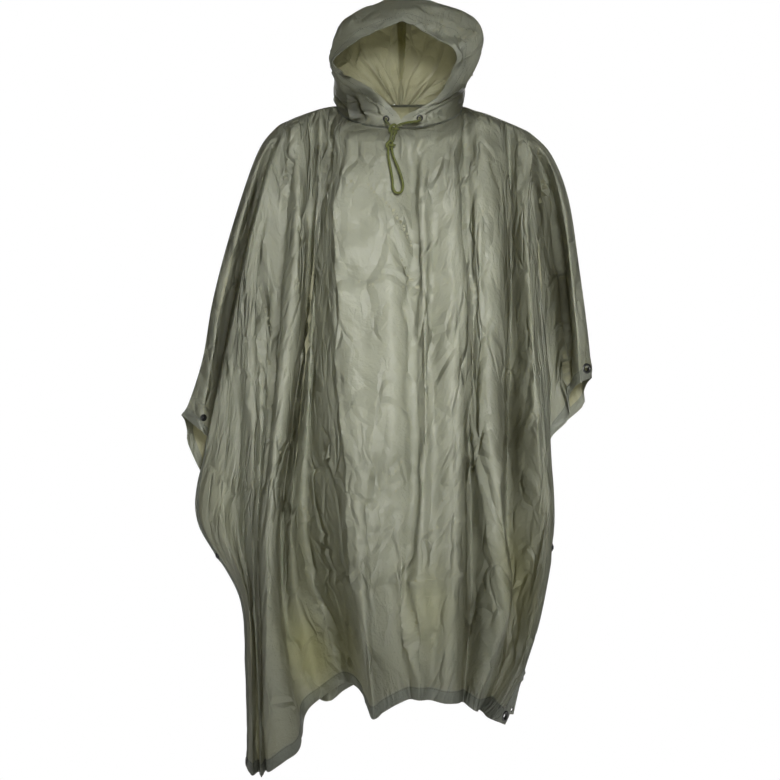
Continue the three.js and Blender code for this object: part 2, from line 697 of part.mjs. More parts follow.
// Throat eyelets and the drawstring that leaves them
const throats = [
  ["eyelet_throat_l", "hood_l", V(-31, -99, -24)],
  ["eyelet_throat_r", "hood_r", V(27, -98, -21)],
];
const exits = throats.map(([name, panel, target]) => {
  const at = nearestOn(panels[panel], target);
  const out = standOff(panels[panel], at, 6, SEAT);
  const profile = [
    [2.8, -2.4],
    [3.4, -2.4],
    [3.4, 0],
    [6, 0.1],
    [5.4, 0.9],
    [3.4, 1.1],
    [2.8, 0.6],
    [2.8, -2.4],
  ];
  holes(panel, at, 3.9);
  place(name, setOn(turned(profile, 16), at.point, at.normal, out), "metal");
  return at.point.clone().addScaledVector(at.normal, out + 1.4);
});

// Drawstring route, from the left eyelet through both knots, round the loop and back to the right eyelet
const CORD_ROUTE = [
  exits[0],
  V(-30.5, -107, -28),
  V(-24, -120, -37),
  V(-19.8, -131, -46),
  V(-21.5, -142, -60),
  V(-25.6, -158, -77),
  V(-26, -164, -97),
  V(-22, -168, -120),
  V(-19, -172, -140),
  V(-18.4, -174, -151),
  V(-14.2, -175.5, -160),
  V(-5.4, -175.5, -160),
  V(-1.2, -174, -151),
  V(-3, -172, -137),
  V(-9, -168, -118),
  V(-17.5, -164, -97),
  V(-20.2, -158, -77),
  V(-16, -142, -60),
  V(-14.4, -131, -46),
  V(-8, -121, -37),
  V(4, -115, -32),
  V(19, -113, -30),
  V(28, -108, -27),
  exits[1],
];
const cordCurve = new THREE.CatmullRomCurve3(CORD_ROUTE);
const cordSection = new THREE.Shape();
for (let k = 0; k < 8; k += 1) {
  const a = (k / 8) * Math.PI * 2;
  if (k === 0) cordSection.moveTo(CORD_R, 0);
  else cordSection.lineTo(CORD_R * Math.cos(a), CORD_R * Math.sin(a));
}
cordSection.closePath();
const cordSize = { steps: 64, extrudePath: cordCurve, bevelEnabled: false };
const cord = new THREE.ExtrudeGeometry(cordSection, cordSize);
place("drawstring", cord, "cord");

// Knots as rings that hold both strands: name, centre, axis, hole radius, thickness radius
const knots = [
  ["knot_upper", V(-17.1, -131, -46), V(0, -0.6, -0.8), 5.6, 3.2],
  ["knot_lower", V(-22.9, -158, -77), V(0, -0.5, -0.87), 5.6, 2.2],
];
knots.forEach(([name, centre, axis, hole, thick]) => {
  const profile = [];
  for (let k = 0; k <= 8; k += 1) {
    const a = (k / 8) * Math.PI * 2;
    profile.push([hole + thick - thick * Math.cos(a), -thick * 1.3 * Math.sin(a)]);
  }
  place(name, setOn(turned(profile, 14), centre, axis.normalize(), 0), "cord");
});

Object.entries(solids).forEach(([name, solid]) => {
  place(name.startsWith("hood") ? name : name + "_panel", fromSolid(solid), "shell");
});

export default part;
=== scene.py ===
# Looks of the hooded rain poncho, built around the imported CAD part.
# The frame is in metres. The cloth tables are in millimetres, as in the CAD source, and MM turns them over.
import math

import bpy
import numpy as np
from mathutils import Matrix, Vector
from mathutils.bvhtree import BVHTree


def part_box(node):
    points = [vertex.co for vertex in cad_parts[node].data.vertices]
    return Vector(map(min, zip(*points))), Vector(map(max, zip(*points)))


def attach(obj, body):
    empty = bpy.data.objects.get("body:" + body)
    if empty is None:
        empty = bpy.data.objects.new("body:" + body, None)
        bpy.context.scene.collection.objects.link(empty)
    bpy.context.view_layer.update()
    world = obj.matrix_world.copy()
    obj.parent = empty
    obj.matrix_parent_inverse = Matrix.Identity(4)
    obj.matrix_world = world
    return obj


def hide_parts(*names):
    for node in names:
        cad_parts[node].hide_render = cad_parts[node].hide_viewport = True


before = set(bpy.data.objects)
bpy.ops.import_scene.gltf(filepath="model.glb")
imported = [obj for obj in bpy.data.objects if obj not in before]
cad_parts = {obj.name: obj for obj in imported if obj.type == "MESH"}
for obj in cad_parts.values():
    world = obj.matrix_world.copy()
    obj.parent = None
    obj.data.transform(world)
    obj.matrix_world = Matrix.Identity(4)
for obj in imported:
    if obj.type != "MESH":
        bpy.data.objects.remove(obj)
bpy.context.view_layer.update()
scene = bpy.context.scene
MM = 0.001

# Cloth and trim sizes, mm, and the rows and columns of a sheet's grid that the hems and casing take up
CLOTH = 0.7
HEM = 22
RIDGE_Y = 5
CORD_RADIUS = 2.1
HEM_THICK = 0.8
HEM_ROWS = 3
HEM_COLUMNS = 4
CASING_ROWS = 6
CASING_START = 14
STITCH = {"pitch": 3.6, "long": 2.7, "thick": 0.45}

# The photograph's camera: 780 pixels wide, level, this far in front of the garment, mm
CAMERA = {"x": -23.4, "y": -3000, "z": -495, "lens": 76.9, "sensor": 36, "pixels": 780}

# Neck ring where the hood is sewn to the panels
RING = {"x": -6, "half_x": 112, "front": 97, "back": 86, "side": 16, "drop_front": 55, "rise_back": 15}

# Heights at which the fold tables give x, and at which they give depth
X_LEVELS = [-170, -375, -580, -726, -863, -1008]
Y_LEVELS = [-170, -478, -786]

# Front panel, a row per fold line: name, x at each X level, hem x and z, y at each Y level, hem y
FRONT = [
    ("edge_l", None, None, -350, -372, -297, -282, -277, -1160, None, -15, 5, -52),
    ("arm_l1", None, None, -340, -353, -287, -275, -271, -1166, None, -50, -22, -74),
    ("arm_l2", None, None, -314, -318, -274, -266, -263, -1168, None, -85, -68, -92),
    ("arm_l3", None, -298, -291, -294, -268, -260, -255, -1169, None, -62, -40, -60),
    ("arm_l4", None, -273, -262, -265, -260, -253, -247, -1168, -85, -100, -98, -104),
    ("arm_l5", -239, -248, -250, -256, -253, -249, -241, -1162, -80, -75, -70, -80),
    ("crease_l", -206, -221, -237, -247, -246, -243, -232, -1155, -80, -95, -110, -120),
    ("ridge_l", -185, -199, -221, -233, -234, -231, -204, -1134, -112, -130, -142, -132),
    ("lip_l", -173, -181, -205, -219, -217, -195, -180, -1117, -98, -110, -112, -104),
    ("pit_l", -163, -173, -203, -220, -220, -200, -176, -1082, -60, -20, 25, 10),
    ("wall_l", -151, -165, -186, -200, -190, -154, -148, -1056, -92, -70, -5, 40),
    ("valley_l", -142, -160, -172, -178, -156, -109, -105, -1039, -85, -20, 45, 95),
    ("side_l", -129, -136, -137, -133, -112, -80, -75, -1034, -118, -95, -60, -30),
    ("front_l", -114, -105, -96, -89, -77, -60, -55, -1046, -150, -182, -198, -206),
    ("front_a", -71, -64, -60, -57, -54, -40, -35, -1037, -160, -197, -202, -202),
    ("front_b", -27, -20, -17, -18, -22, -15, -12, -1027, -166, -207, -190, -186),
    ("centre", 13, 20, 21, 14, 2, 5, 9, -1018, -150, -184, -190, -184),
    ("front_c", 31, 34, 35, 28, 24, 25, 26, -1014, -164, -206, -220, -216),
    ("pleat", 50, 48, 51, 50, 53, 45, 44, -1018, -156, -190, -205, -190),
    ("front_d", 75, 80, 77, 75, 75, 70, 68, -1022, -166, -206, -216, -202),
    ("front_r", 92, 104, 98, 94, 92, 91, 90, -1026, -160, -190, -206, -180),
    ("valley_r", 108, 119, 113, 117, 116, 115, 102, -1033, -118, -125, -92, -128),
    ("wedge_r", 128, 132, 131, 139, 141, 137, 112, -1038, -136, -156, -146, -146),
    ("ridge_r", 156, 153, 153, 158, 168, 152, 122, -1044, -130, -162, -176, -150),
    ("lip_r", 175, 172, 169, 174, 187, 162, 128, -1048, -98, -125, -142, -134),
    ("pit_r", 190, 192, 186, 186, 184, 168, 131, -1050, -36, 0, 25, -110),
    ("panel_r", 200, 210, 212, 212, 206, 173, 134, -1052, -72, -48, 8, -104),
    ("arm_r6", 214, 223, 234, 237, 219, 178, 137, -1053, -88, -84, -24, -112),
    ("arm_r5", 222, 232, 245, 249, 229, 183, 141, -1056, -80, -62, -48, -128),
    ("arm_r4", None, 241, 253, 258, 237, 187, 145, -1058, -50, -50, -52, -136),
    ("arm_r3", None, 250, 260, 265, 244, 192, 150, -1061, None, -32, -32, -134),
    ("arm_r2", None, None, 264, 270, 250, 197, 157, -1065, None, -10, -10, -128),
    ("edge_r", None, None, 268, 274, 255, 207, 176, -1076, None, 16, 12, -108),
]

# Where each fold line leaves the neck ring, in degrees from the front
RING_STARTS = {
    "valley_l": -90, "side_l": -66, "front_l": -42, "front_a": -23, "front_b": -8, "centre": 6,
    "front_c": 19, "pleat": 33, "front_d": 49, "front_r": 69, "valley_r": 90,
}

# Where the others leave the shoulder: x, z
SHOULDER_STARTS = {
    "crease_l": (-231, -24), "ridge_l": (-204, -8), "lip_l": (-182, 1), "pit_l": (-162, 8),
    "wall_l": (-141, 14), "wedge_r": (130, 9), "ridge_r": (151, 3), "lip_r": (171, -5),
    "pit_r": (188, -12), "panel_r": (209, -21), "arm_r6": (234, -35),
}

# Over the arms: ridge x z, strip x z, bottom of the deep fold x y z, its front lip x y z
ARM_STARTS = {
    "edge_l": (-400, -540, -355, -572, -345, 22, -586, -352, -15, -585),
    "arm_l1": (-386, -517, -356, -541, -342, 34, -556, -340, -50, -545),
    "arm_l2": (-361, -437, -341, -452, -333, 40, -465, -321, -72, -460),
    "arm_l3": (-343, -333, -325, -349, -316, 42, -360, -299, -80, -360),
    "arm_l4": (-310, -207, -295, -222, -286, 38, -228, -270, -86, -231),
    "arm_l5": (-265, -73, -254, -85, -247, 12, -92, -237, -66, -103),
    "arm_r5": (269, -73, 259, -87, 250, 16, -95, 226, -72, -119),
    "arm_r4": (299, -152, 284, -168, 276, 44, -176, 239, -54, -198),
    "arm_r3": (319, -282, 300, -297, 290, 46, -308, 250, -34, -320),
    "arm_r2": (334, -396, 310, -408, 297, 40, -417, 262, -14, -430),
    "edge_r": (341, -473, 316, -482, 302, 24, -500, 300, 14, -546),
}

# Back panel, a row per fold line: name, x at z -375, -580, -863, hem x and z, how far out it stands
BACK = [
    ("edge_l", None, -350, -291, -272, -1140, 0.0),
    ("arm_l1", None, -337, -286, -250, -1148, 0.2),
    ("arm_l2", None, -318, -276, -245, -1143, 0.55),
    ("arm_l3", -298, -300, -266, -239, -1136, 0.8),
    ("arm_l4", -276, -278, -256, -231, -1130, 0.35),
    ("arm_l5", -254, -262, -240, -221, -1118, -0.5),
    ("crease_l", -236, -240, -230, -214, -1108, -0.9),
    ("ridge_l", -212, -220, -216, -202, -1100, -0.3),
    ("lip_l", -190, -196, -198, -186, -1094, 0.8),
    ("pit_l", -168, -176, -174, -166, -1086, 0.9),
    ("wall_l", -150, -154, -156, -150, -1080, -0.4),
    ("valley_l", -128, -132, -138, -134, -1074, -1.0),
    ("side_l", -102, -106, -112, -112, -1068, 0.2),
    ("front_l", -78, -80, -84, -86, -1064, 1.0),
    ("front_a", -54, -56, -62, -64, -1062, 0.3),
    ("front_b", -28, -30, -34, -38, -1060, -0.9),
    ("centre", 0, -2, -4, -8, -1058, -0.5),
    ("front_c", 28, 28, 24, 20, -1058, 0.7),
    ("pleat", 48, 50, 48, 44, -1060, 1.0),
    ("front_d", 72, 74, 72, 66, -1062, -0.3),
    ("front_r", 96, 98, 98, 90, -1064, -1.0),
    ("valley_r", 118, 122, 120, 110, -1068, 0.1),
    ("wedge_r", 138, 142, 140, 126, -1072, 0.9),
    ("ridge_r", 156, 160, 158, 140, -1076, 0.2),
    ("lip_r", 172, 180, 176, 150, -1080, 0.7),
    ("pit_r", 190, 196, 192, 157, -1084, -0.4),
    ("panel_r", 208, 212, 206, 163, -1088, 0.3),
    ("arm_r6", 224, 228, 218, 168, -1092, 0.55),
    ("arm_r5", 240, 240, 226, 172, -1096, 0.45),
    ("arm_r4", 252, 250, 233, 176, -1100, 0.15),
    ("arm_r3", 262, 258, 239, 181, -1104, -0.2),
    ("arm_r2", None, 264, 244, 187, -1107, -0.1),
    ("edge_r", None, 270, 258, 210, -1108, 0.0),
]
# Depth of the back along its middle, and how far its folds stand out: z, y, fold
BACK_BODY = [(30, 92, 1), (-170, 138, 11), (-478, 162, 36), (-786, 172, 52), (-1150, 182, 60)]
BACK_HALF_WIDTH = 400

# Hood hoops from face to nape: foot degrees, then x y z of throat, cheek, wide, high
HOOD_LEFT = [
    (-3, -7, -101, -20, -58, -96, 32, -127, -65, 80, -74, -101, 117),
    (-17, -34, -98, -16, -86, -92, 24, -131, -46, 80, -98, -70, 138),
    (-38, -84, -82, -2, -110, -72, 28, -131, -20, 92, -104, -24, 166),
    (-62, -112, -50, 8, -121, -34, 44, -128, 20, 108, -94, 32, 178),
    (-92, -122, 8, 30, -123, 26, 60, -118, 56, 110, -80, 82, 164),
    (-122, -108, 52, 38, -108, 64, 64, -98, 90, 98, -62, 114, 130),
    (-152, -64, 84, 40, -63, 92, 54, -54, 104, 72, -31, 116, 82),
    (-168, -30, 92, 33, -26, 92.6, 33, -18, 93.4, 33, -9, 93.8, 33),
]
HOOD_RIGHT = [
    (2, 1, -101, -20, 58, -100, 14, 86, -95, 66, 76, -103, 104),
    (17, 34, -98, -18, 98, -86, 28, 141, -58, 124, 104, -80, 164),
    (38, 72, -82, -2, 106, -68, 36, 130, -22, 108, 100, -26, 178),
    (62, 98, -50, 10, 110, -34, 48, 122, 18, 112, 92, 32, 180),
    (92, 109, 8, 30, 112, 26, 60, 110, 56, 110, 76, 82, 166),
    (122, 96, 52, 38, 97, 64, 64, 90, 90, 98, 58, 114, 130),
    (152, 52, 84, 40, 52, 92, 54, 46, 104, 72, 27, 116, 82),
    (168, 18, 92, 33, 16, 92.6, 33, 11, 93.4, 33, 5, 93.8, 33),
]
# Centre seam of the hood, a row per hoop: x, y, z
HOOD_SEAM = [
    (-3, -115, 145), (-3, -88, 180), (-3, -25, 212), (-2, 45, 212),
    (-2, 98, 182), (-2, 130, 138), (-3, 124, 86), (-4, 94, 33),
]
HOOD_LIFT = 0.3


# Fold lines and grids
def curve(start, end, start_slope, end_slope, t):
    """A cubic from start to end with the slopes given at both."""
    t2 = t * t
    t3 = t2 * t
    risen = 3 * t2 - 2 * t3
    return (1 - risen) * start + risen * end + (t3 - 2 * t2 + t) * start_slope + (t3 - t2) * end_slope


def along(points, positions):
    """The points at fractional positions of a row of control points, on a smooth curve through them."""
    points = np.asarray(points, float)
    positions = np.asarray(positions, float)
    before = 2 * points[:1] - points[1:2]
    after = 2 * points[-1:] - points[-2:-1]
    padded = np.concatenate([before, points, after])
    i = np.clip(np.floor(positions).astype(int), 0, len(points) - 2)
    t = (positions - i).reshape((-1,) + (1,) * (points.ndim - 1))
    a, b, c, d = (padded[i + k] for k in range(4))
    return curve(b, c, (c - a) / 2, (d - b) / 2, t)


def at_height(knots, z):
    """Smooth value at height z through knots of (z, value) that go down."""
    last = len(knots) - 1
    if z >= knots[0][0]:
        return knots[0][1]
    if z <= knots[last][0]:
        return knots[last][1]
    i = 0
    while z < knots[i + 1][0]:
        i += 1

    def slope(k):
        p = knots[max(0, k - 1)]
        q = knots[min(last, k + 1)]
        return (q[1] - p[1]) / (q[0] - p[0])

    h = knots[i + 1][0] - knots[i][0]
    return curve(knots[i][1], knots[i + 1][1], h * slope(i), h * slope(i + 1), (z - knots[i][0]) / h)


def ring_point(degrees):
    a = math.radians(degrees)
    c = math.cos(a)
    depth = RING["front"] if c > 0 else RING["back"]
    rise = -RING["drop_front"] * c if c > 0 else -RING["rise_back"] * c
    return np.array([RING["x"] + RING["half_x"] * math.sin(a), RIDGE_Y - depth * c, RING["side"] + rise])


def head_points(name, x_top, y_top, side):
    """The start of a fold line: its point on the ridge or ring, then three down to where it hangs free."""
    arm = ARM_STARTS.get(name)
    if arm and side < 0:
        return [
            (arm[0], RIDGE_Y, arm[1]),
            (arm[2], -30, arm[3]),
            (arm[4], arm[5], arm[6]),
            (arm[7], arm[8], arm[9]),
        ]
    ring = name in RING_STARTS
    if arm:
        start = np.array([arm[0], RIDGE_Y, arm[1]], float)
    elif name in SHOULDER_STARTS:
        x, z = SHOULDER_STARTS[name]
        start = np.array([x, RIDGE_Y, z], float)
    else:
        start = ring_point(RING_STARTS[name] if side < 0 else 180 - RING_STARTS[name])
    front_ring = ring and side < 0
    fall = start[2] + 80 if front_ring else 54
    straight = 0.75 if front_ring else 0.35
    flare = 8 * np.sign(start[0]) * max(0, abs(start[0]) / 112 - 0.5) if ring else 0
    x = start[0] + (x_top - start[0]) * (0.12 if arm else 0.45)
    y = start[1] + (y_top - start[1]) * (0.92 if arm else 0.72)
    points = [start]
    for degrees in (30, 60, 90):
        a = math.radians(degrees)
        out = math.sin(a)
        down = straight * (degrees / 90) + (1 - straight) * (1 - math.cos(a))
        across = start[0] + (x - start[0]) * out + flare * math.sin(2 * a)
        points.append(np.array([across, start[1] + (y - start[1]) * out, start[2] - fall * down]))
    return points


def fold_line(head, x_knots, y_knots, hem_z, body_rows):
    """Points of one fold line: four of its head, then the rows of its body down to the hem."""
    lip = head[3]
    xs = [(lip[2], lip[0])] + [k for k in x_knots if k[0] < lip[2] - 25]
    ys = [(lip[2], lip[1])] + [k for k in y_knots if k[0] < lip[2] - 25]
    points = [np.array(p, float) for p in head]
    for j in range(1, body_rows + 1):
        z = lip[2] + (hem_z + HEM - lip[2]) * j / body_rows
        points.append(np.array([at_height(xs, z), at_height(ys, z), z]))
    points.append(np.array([at_height(xs, hem_z), at_height(ys, hem_z), hem_z]))
    return points


def front_lines(body_rows):
    lines = []
    for name, *n in FRONT:
        x_knots = [(z, n[k]) for k, z in enumerate(X_LEVELS) if n[k] is not None and z > n[7] + 40]
        x_knots.append((n[7], n[6]))
        y_knots = [(z, n[8 + k]) for k, z in enumerate(Y_LEVELS) if n[8 + k] is not None]
        y_knots.append((n[7], n[11]))
        head = head_points(name, x_knots[0][1], y_knots[0][1], -1)
        lines.append(fold_line(head, x_knots, y_knots, n[7], body_rows))
    return np.array(lines)


def back_lines(body_rows):
    middle = [(z, y) for z, y, _ in BACK_BODY]
    folds = [(z, f) for z, _, f in BACK_BODY]
    lines = []
    for name, x_waist, x_hip, x_low, x_hem, z_hem, stand in BACK:
        x_knots = [(-375, x_waist), (-580, x_hip), (-863, x_low), (z_hem, x_hem)]
        x_knots = [k for k in x_knots if k[1] is not None]
        y_knots = []
        for z in (-170, -478, -786, z_hem):
            x = at_height(x_knots, z)
            round_off = math.sqrt(max(0, 1 - (x / BACK_HALF_WIDTH) ** 2))
            y = 22 + (at_height(middle, z) - 22) * round_off**1.4
            y_knots.append((z, y + at_height(folds, z) * stand))
        head = head_points(name, x_knots[0][1], y_knots[0][1], 1)
        lines.append(fold_line(head, x_knots, y_knots, z_hem, body_rows))
    return np.array(lines)


def length_of(points):
    return np.linalg.norm(np.diff(points, axis=0), axis=-1)


def run_along(points):
    """How far along a row of points each of them is."""
    return np.concatenate([[0], np.cumsum(length_of(points))])


def smoothed(points):
    """A row of points, each moved towards its two neighbours."""
    out = points.copy()
    out[1:-1] = (points[:-2] + 2 * points[1:-1] + points[2:]) / 4
    return out


def ring_faces(rings, sides, closed=True):
    """Quads from each ring of points to the next one, and where it is closed from the last to the first."""
    faces = []
    for j in range(rings if closed else rings - 1):
        for k in range(sides):
            a, b = j * sides + k, j * sides + (k + 1) % sides
            c, d = (j + 1) % rings * sides + k, (j + 1) % rings * sides + (k + 1) % sides
            faces.append((a, b, d, c))
    return faces


class Sheet:
    """Points of one cloth piece, rows by columns, with their outward normals and flat coordinates."""

    def __init__(self, points, turn):
        self.points = points
        self.turn = turn
        self.measure()

    def measure(self):
        p = self.points
        across = np.empty_like(p)
        across[:, 1:-1] = p[:, 2:] - p[:, :-2]
        across[:, 0] = p[:, 1] - p[:, 0]
        across[:, -1] = p[:, -1] - p[:, -2]
        down = np.empty_like(p)
        down[1:-1] = p[2:] - p[:-2]
        down[0] = p[1] - p[0]
        down[-1] = p[-1] - p[-2]
        n = np.cross(down, across) * self.turn
        self.normals = n / np.maximum(np.linalg.norm(n, axis=-1, keepdims=True), 1e-9)

    def lay_flat(self):
        """Flat coordinates: how far each point is across and down the cloth, mm."""
        p = self.points
        step_u = np.linalg.norm(np.diff(p, axis=1), axis=-1)
        u = np.concatenate([np.zeros((len(p), 1)), np.cumsum(step_u, axis=1)], axis=1)
        u -= u[:, u.shape[1] // 2 : u.shape[1] // 2 + 1]
        step_v = np.linalg.norm(np.diff(p, axis=0), axis=-1)
        v = np.concatenate([np.zeros((1, p.shape[1])), np.cumsum(step_v, axis=0)], axis=0)
        self.flat = np.stack([u, v], axis=-1)
        self.cut = np.stack([np.broadcast_to(u.mean(0), u.shape), v], axis=-1)


def panel_sheet(lines, turn, row_step, column_step):
    """The fine grid of a body panel, with whole columns a hem's width in from each side edge."""
    rows = [0.0]
    for j in range(lines.shape[1] - 1):
        size = np.median(np.linalg.norm(lines[:, j + 1] - lines[:, j], axis=-1))
        count = max(2, round(size / row_step))
        rows += [j + k / count for k in range(1, count + 1)]
    fine = along(lines.transpose(1, 0, 2), rows)
    last = lines.shape[0] - 1
    counts = []
    for i in range(last):
        size = np.mean(np.linalg.norm(lines[i + 1, 4:] - lines[i, 4:], axis=-1))
        counts.append(max(3, round(size / column_step)))
    grid = []
    for row in fine:
        in_l = np.clip(HEM / np.linalg.norm(row[1] - row[0]), 0.2, 0.8)
        in_r = np.clip(HEM / np.linalg.norm(row[last] - row[last - 1]), 0.2, 0.8)
        positions = list(np.linspace(0, in_l, HEM_COLUMNS + 1)) + list(np.linspace(in_l, 1, 4))[1:]
        for i in range(1, last - 1):
            positions += [i + k / counts[i] for k in range(1, counts[i] + 1)]
        positions += list(np.linspace(last - 1, last - in_r, 4))[1:]
        positions += list(np.linspace(last - in_r, last, HEM_COLUMNS + 1))[1:]
        grid.append(along(row, positions))
    return Sheet(np.array(grid), turn)


def hood_sheet(table, side, rows, columns):
    hoops = []
    for k, (_, *n) in enumerate(table):
        top = np.array(HOOD_SEAM[k], float)
        hoops.append([np.zeros(3), n[0:3], n[3:6], n[6:9], n[9:12], top])
    hoops = np.array([[np.array(p, float) for p in h] for h in hoops])
    grid = []
    for position in np.linspace(0, len(table) - 1, rows):
        i = min(len(table) - 2, int(position))
        degrees = table[i][0] + (table[i + 1][0] - table[i][0]) * (position - i)
        line = along(hoops, [position])[0]
        line[0] = ring_point(degrees)
        line[0][2] += HOOD_LIFT
        grid.append(along(line, np.linspace(0, 5, columns)))
    return Sheet(np.array(grid), side)


front = panel_sheet(front_lines(body_rows=14), turn=1, row_step=7.0, column_step=5.2)
back = panel_sheet(back_lines(body_rows=9), turn=-1, row_step=8, column_step=6)
hood_left = hood_sheet(HOOD_LEFT, side=-1, rows=91, columns=71)
hood_right = hood_sheet(HOOD_RIGHT, side=1, rows=91, columns=71)
for s in (front, back, hood_left, hood_right):
    s.lay_flat()


# Camera
PIXEL = CAMERA["sensor"] / CAMERA["lens"] / CAMERA["pixels"]
MIDDLE = CAMERA["pixels"] / 2


def photo_ray(px, py):
    """Start and direction, mm, of the line of sight through a pixel of the photograph."""
    start = Vector((CAMERA["x"], CAMERA["y"], CAMERA["z"]))
    return start, Vector(((px - MIDDLE) * PIXEL, 1, (MIDDLE - py) * PIXEL)).normalized()


def photo_place(points):
    """Pixels of the photograph, x and y, at which points in mm are seen."""
    away = (points[:, 1] - CAMERA["y"]) * PIXEL
    return MIDDLE + (points[:, 0] - CAMERA["x"]) / away, MIDDLE - (points[:, 2] - CAMERA["z"]) / away


camera = bpy.data.objects.new("camera", bpy.data.cameras.new("camera"))
scene.collection.objects.link(camera)
camera.location = (CAMERA["x"] * MM, CAMERA["y"] * MM, CAMERA["z"] * MM)
camera.rotation_euler = (math.pi / 2, 0, 0)
camera.data.lens = CAMERA["lens"]
camera.data.sensor_width = CAMERA["sensor"]
scene.camera = camera


def mesh_object(name, vertices, faces, material_of=None, materials=(), sharp=40):
    """A mesh object from points in mm."""
    mesh = bpy.data.meshes.new(name)
    mesh.from_pydata([tuple(v) for v in np.asarray(vertices) * MM], [], [tuple(map(int, f)) for f in faces])
    for m in materials:
        mesh.materials.append(m)
    if material_of is not None:
        mesh.polygons.foreach_set("material_index", np.asarray(material_of, np.int32))
    mesh.validate()
    mesh.shade_smooth()
    mesh.set_sharp_from_angle(angle=math.radians(sharp))
    mesh.update()
    ob = bpy.data.objects.new(name, mesh)
    scene.collection.objects.link(ob)
    return ob


def give(ob, name, values):
    """Gives a mesh a vector at each of its points, under a name that its materials read."""
    attribute = ob.data.attributes.new(name, "FLOAT_VECTOR", "POINT")
    attribute.data.foreach_set("vector", np.asarray(values, np.float32).ravel())


def tube(name, path, radius, sides, materials, closed=False):
    """A round tube along a path, mm, whose rings do not twist, with its length and angle as an attribute."""
    path = np.asarray(path, float)
    n = len(path)
    tangent = np.gradient(path, axis=0)
    if closed:
        tangent = np.roll(path, -1, 0) - np.roll(path, 1, 0)
    tangent /= np.linalg.norm(tangent, axis=1, keepdims=True)
    normal = np.cross(tangent[0], (0.3, 0.2, 1.0))
    normal /= np.linalg.norm(normal)
    rings = []
    flat = []
    distance = run_along(path)
    for k in range(n):
        normal = normal - tangent[k] * np.dot(normal, tangent[k])
        normal /= np.linalg.norm(normal)
        other = np.cross(tangent[k], normal)
        for i in range(sides):
            a = 2 * math.pi * i / sides
            rings.append(path[k] + radius * (math.cos(a) * normal + math.sin(a) * other))
            flat.append((distance[k] * MM, a, 0))
    faces = ring_faces(n, sides, closed)
    if not closed:
        faces.append(tuple(range(sides))[::-1])
        faces.append(tuple((n - 1) * sides + i for i in range(sides)))
    ob = mesh_object(name, rings, faces, materials=materials, sharp=60)
    give(ob, "cut", flat)
    return ob


# Materials
def nodes_of(name):
    material = bpy.data.materials.new(name)
    material.use_nodes = True
    material.node_tree.nodes.clear()
    return material, material.node_tree


def add(tree, kind, inputs=None, **settings):
    """Adds a node and gives it its inputs, each a value or a socket to link."""
    node = tree.nodes.new("ShaderNode" + kind)
    for key, value in settings.items():
        setattr(node, key, value)
    for key, value in (inputs or {}).items():
        if isinstance(value, bpy.types.NodeSocket):
            tree.links.new(value, node.inputs[key])
        else:
            node.inputs[key].default_value = value
    return node


def calc(tree, operation, *values):
    return add(tree, "Math", dict(enumerate(values)), operation=operation).outputs[0]


def vector(tree, operation, *values):
    return add(tree, "VectorMath", dict(enumerate(values)), operation=operation).outputs[0]


def noise(tree, place, scale, detail, roughness=0.5, output="Fac"):
    inputs = {"Vector": place, "Scale": scale, "Detail": detail, "Roughness": roughness}
    return add(tree, "TexNoise", inputs).outputs[output]


def remap(tree, value, low, high, start=0.0, end=1.0):
    inputs = {"Value": value, "From Min": start, "From Max": end, "To Min": low, "To Max": high}
    return add(tree, "MapRange", inputs).outputs["Result"]


def ramp(tree, factor, stops):
    node = add(tree, "ValToRGB", {"Fac": factor})
    for element, (position, colour) in zip(node.color_ramp.elements, stops):
        element.position = position
        element.color = (*colour, 1)
    return node.outputs["Color"]


def bump(tree, height, strength, distance, over=None):
    inputs = {"Height": height, "Strength": strength, "Distance": distance}
    if over is not None:
        inputs["Normal"] = over
    return add(tree, "Bump", inputs).outputs["Normal"]


def surface(tree, colour, roughness, **inputs):
    return add(tree, "BsdfPrincipled", {"Base Color": colour, "Roughness": roughness, **inputs}).outputs[0]


def end_with(tree, shader):
    output = add(tree, "OutputMaterial")
    tree.links.new(shader, output.inputs["Surface"])


# Crinkles of the coated cloth: cells a metre of the crease network, and how deep it is
CRINKLES = [(11, 1.5), (25, 0.8), (70, 0.10)]
THREADS = 420


def with_painted_shade(tree, colour):
    """The colour with painted shade and painted glow: made darker, or paler and warmer, by the sheet's tone
    attribute.
    """
    tone = add(tree, "Attribute", attribute_name="tone").outputs["Vector"]
    dark, warm, _ = add(tree, "SeparateXYZ", {0: tone}).outputs
    pale = calc(tree, "MULTIPLY_ADD", dark, -0.90, 1.0)
    green = calc(tree, "MULTIPLY_ADD", warm, -0.04, 1.0)
    blue = calc(tree, "MULTIPLY_ADD", warm, -0.34, 1.0)
    tint = add(tree, "CombineXYZ", {0: 1.0, 1: green, 2: blue}).outputs["Vector"]
    tinted = vector(tree, "MULTIPLY", colour, tint)
    return add(tree, "VectorMath", {0: tinted, "Scale": pale}, operation="SCALE").outputs["Vector"]


def crinkled(tree, cut, uneven):
    """Height of the cloth's face: a warped network of creases that comes and goes, over a soft wobble."""
    bend = noise(tree, cut, 14, 2, output="Color")
    moved = vector(tree, "ADD", cut, vector(tree, "MULTIPLY", bend, (0.03, 0.03, 0.03)))
    moved = vector(tree, "MULTIPLY", moved, (1.0, 0.5, 1.0))
    height = calc(tree, "MULTIPLY", uneven, 0.008)
    for scale, depth in CRINKLES:
        cells = {"Vector": moved, "Scale": scale, "Randomness": 1}
        edge = add(tree, "TexVoronoi", cells, feature="DISTANCE_TO_EDGE").outputs["Distance"]
        shown = remap(tree, noise(tree, cut, scale * 0.45, 1), 0.0, depth * 0.05, 0.42, 0.62)
        height = calc(tree, "ADD", height, calc(tree, "MULTIPLY", calc(tree, "MINIMUM", edge, 0.13), shown))
    return height


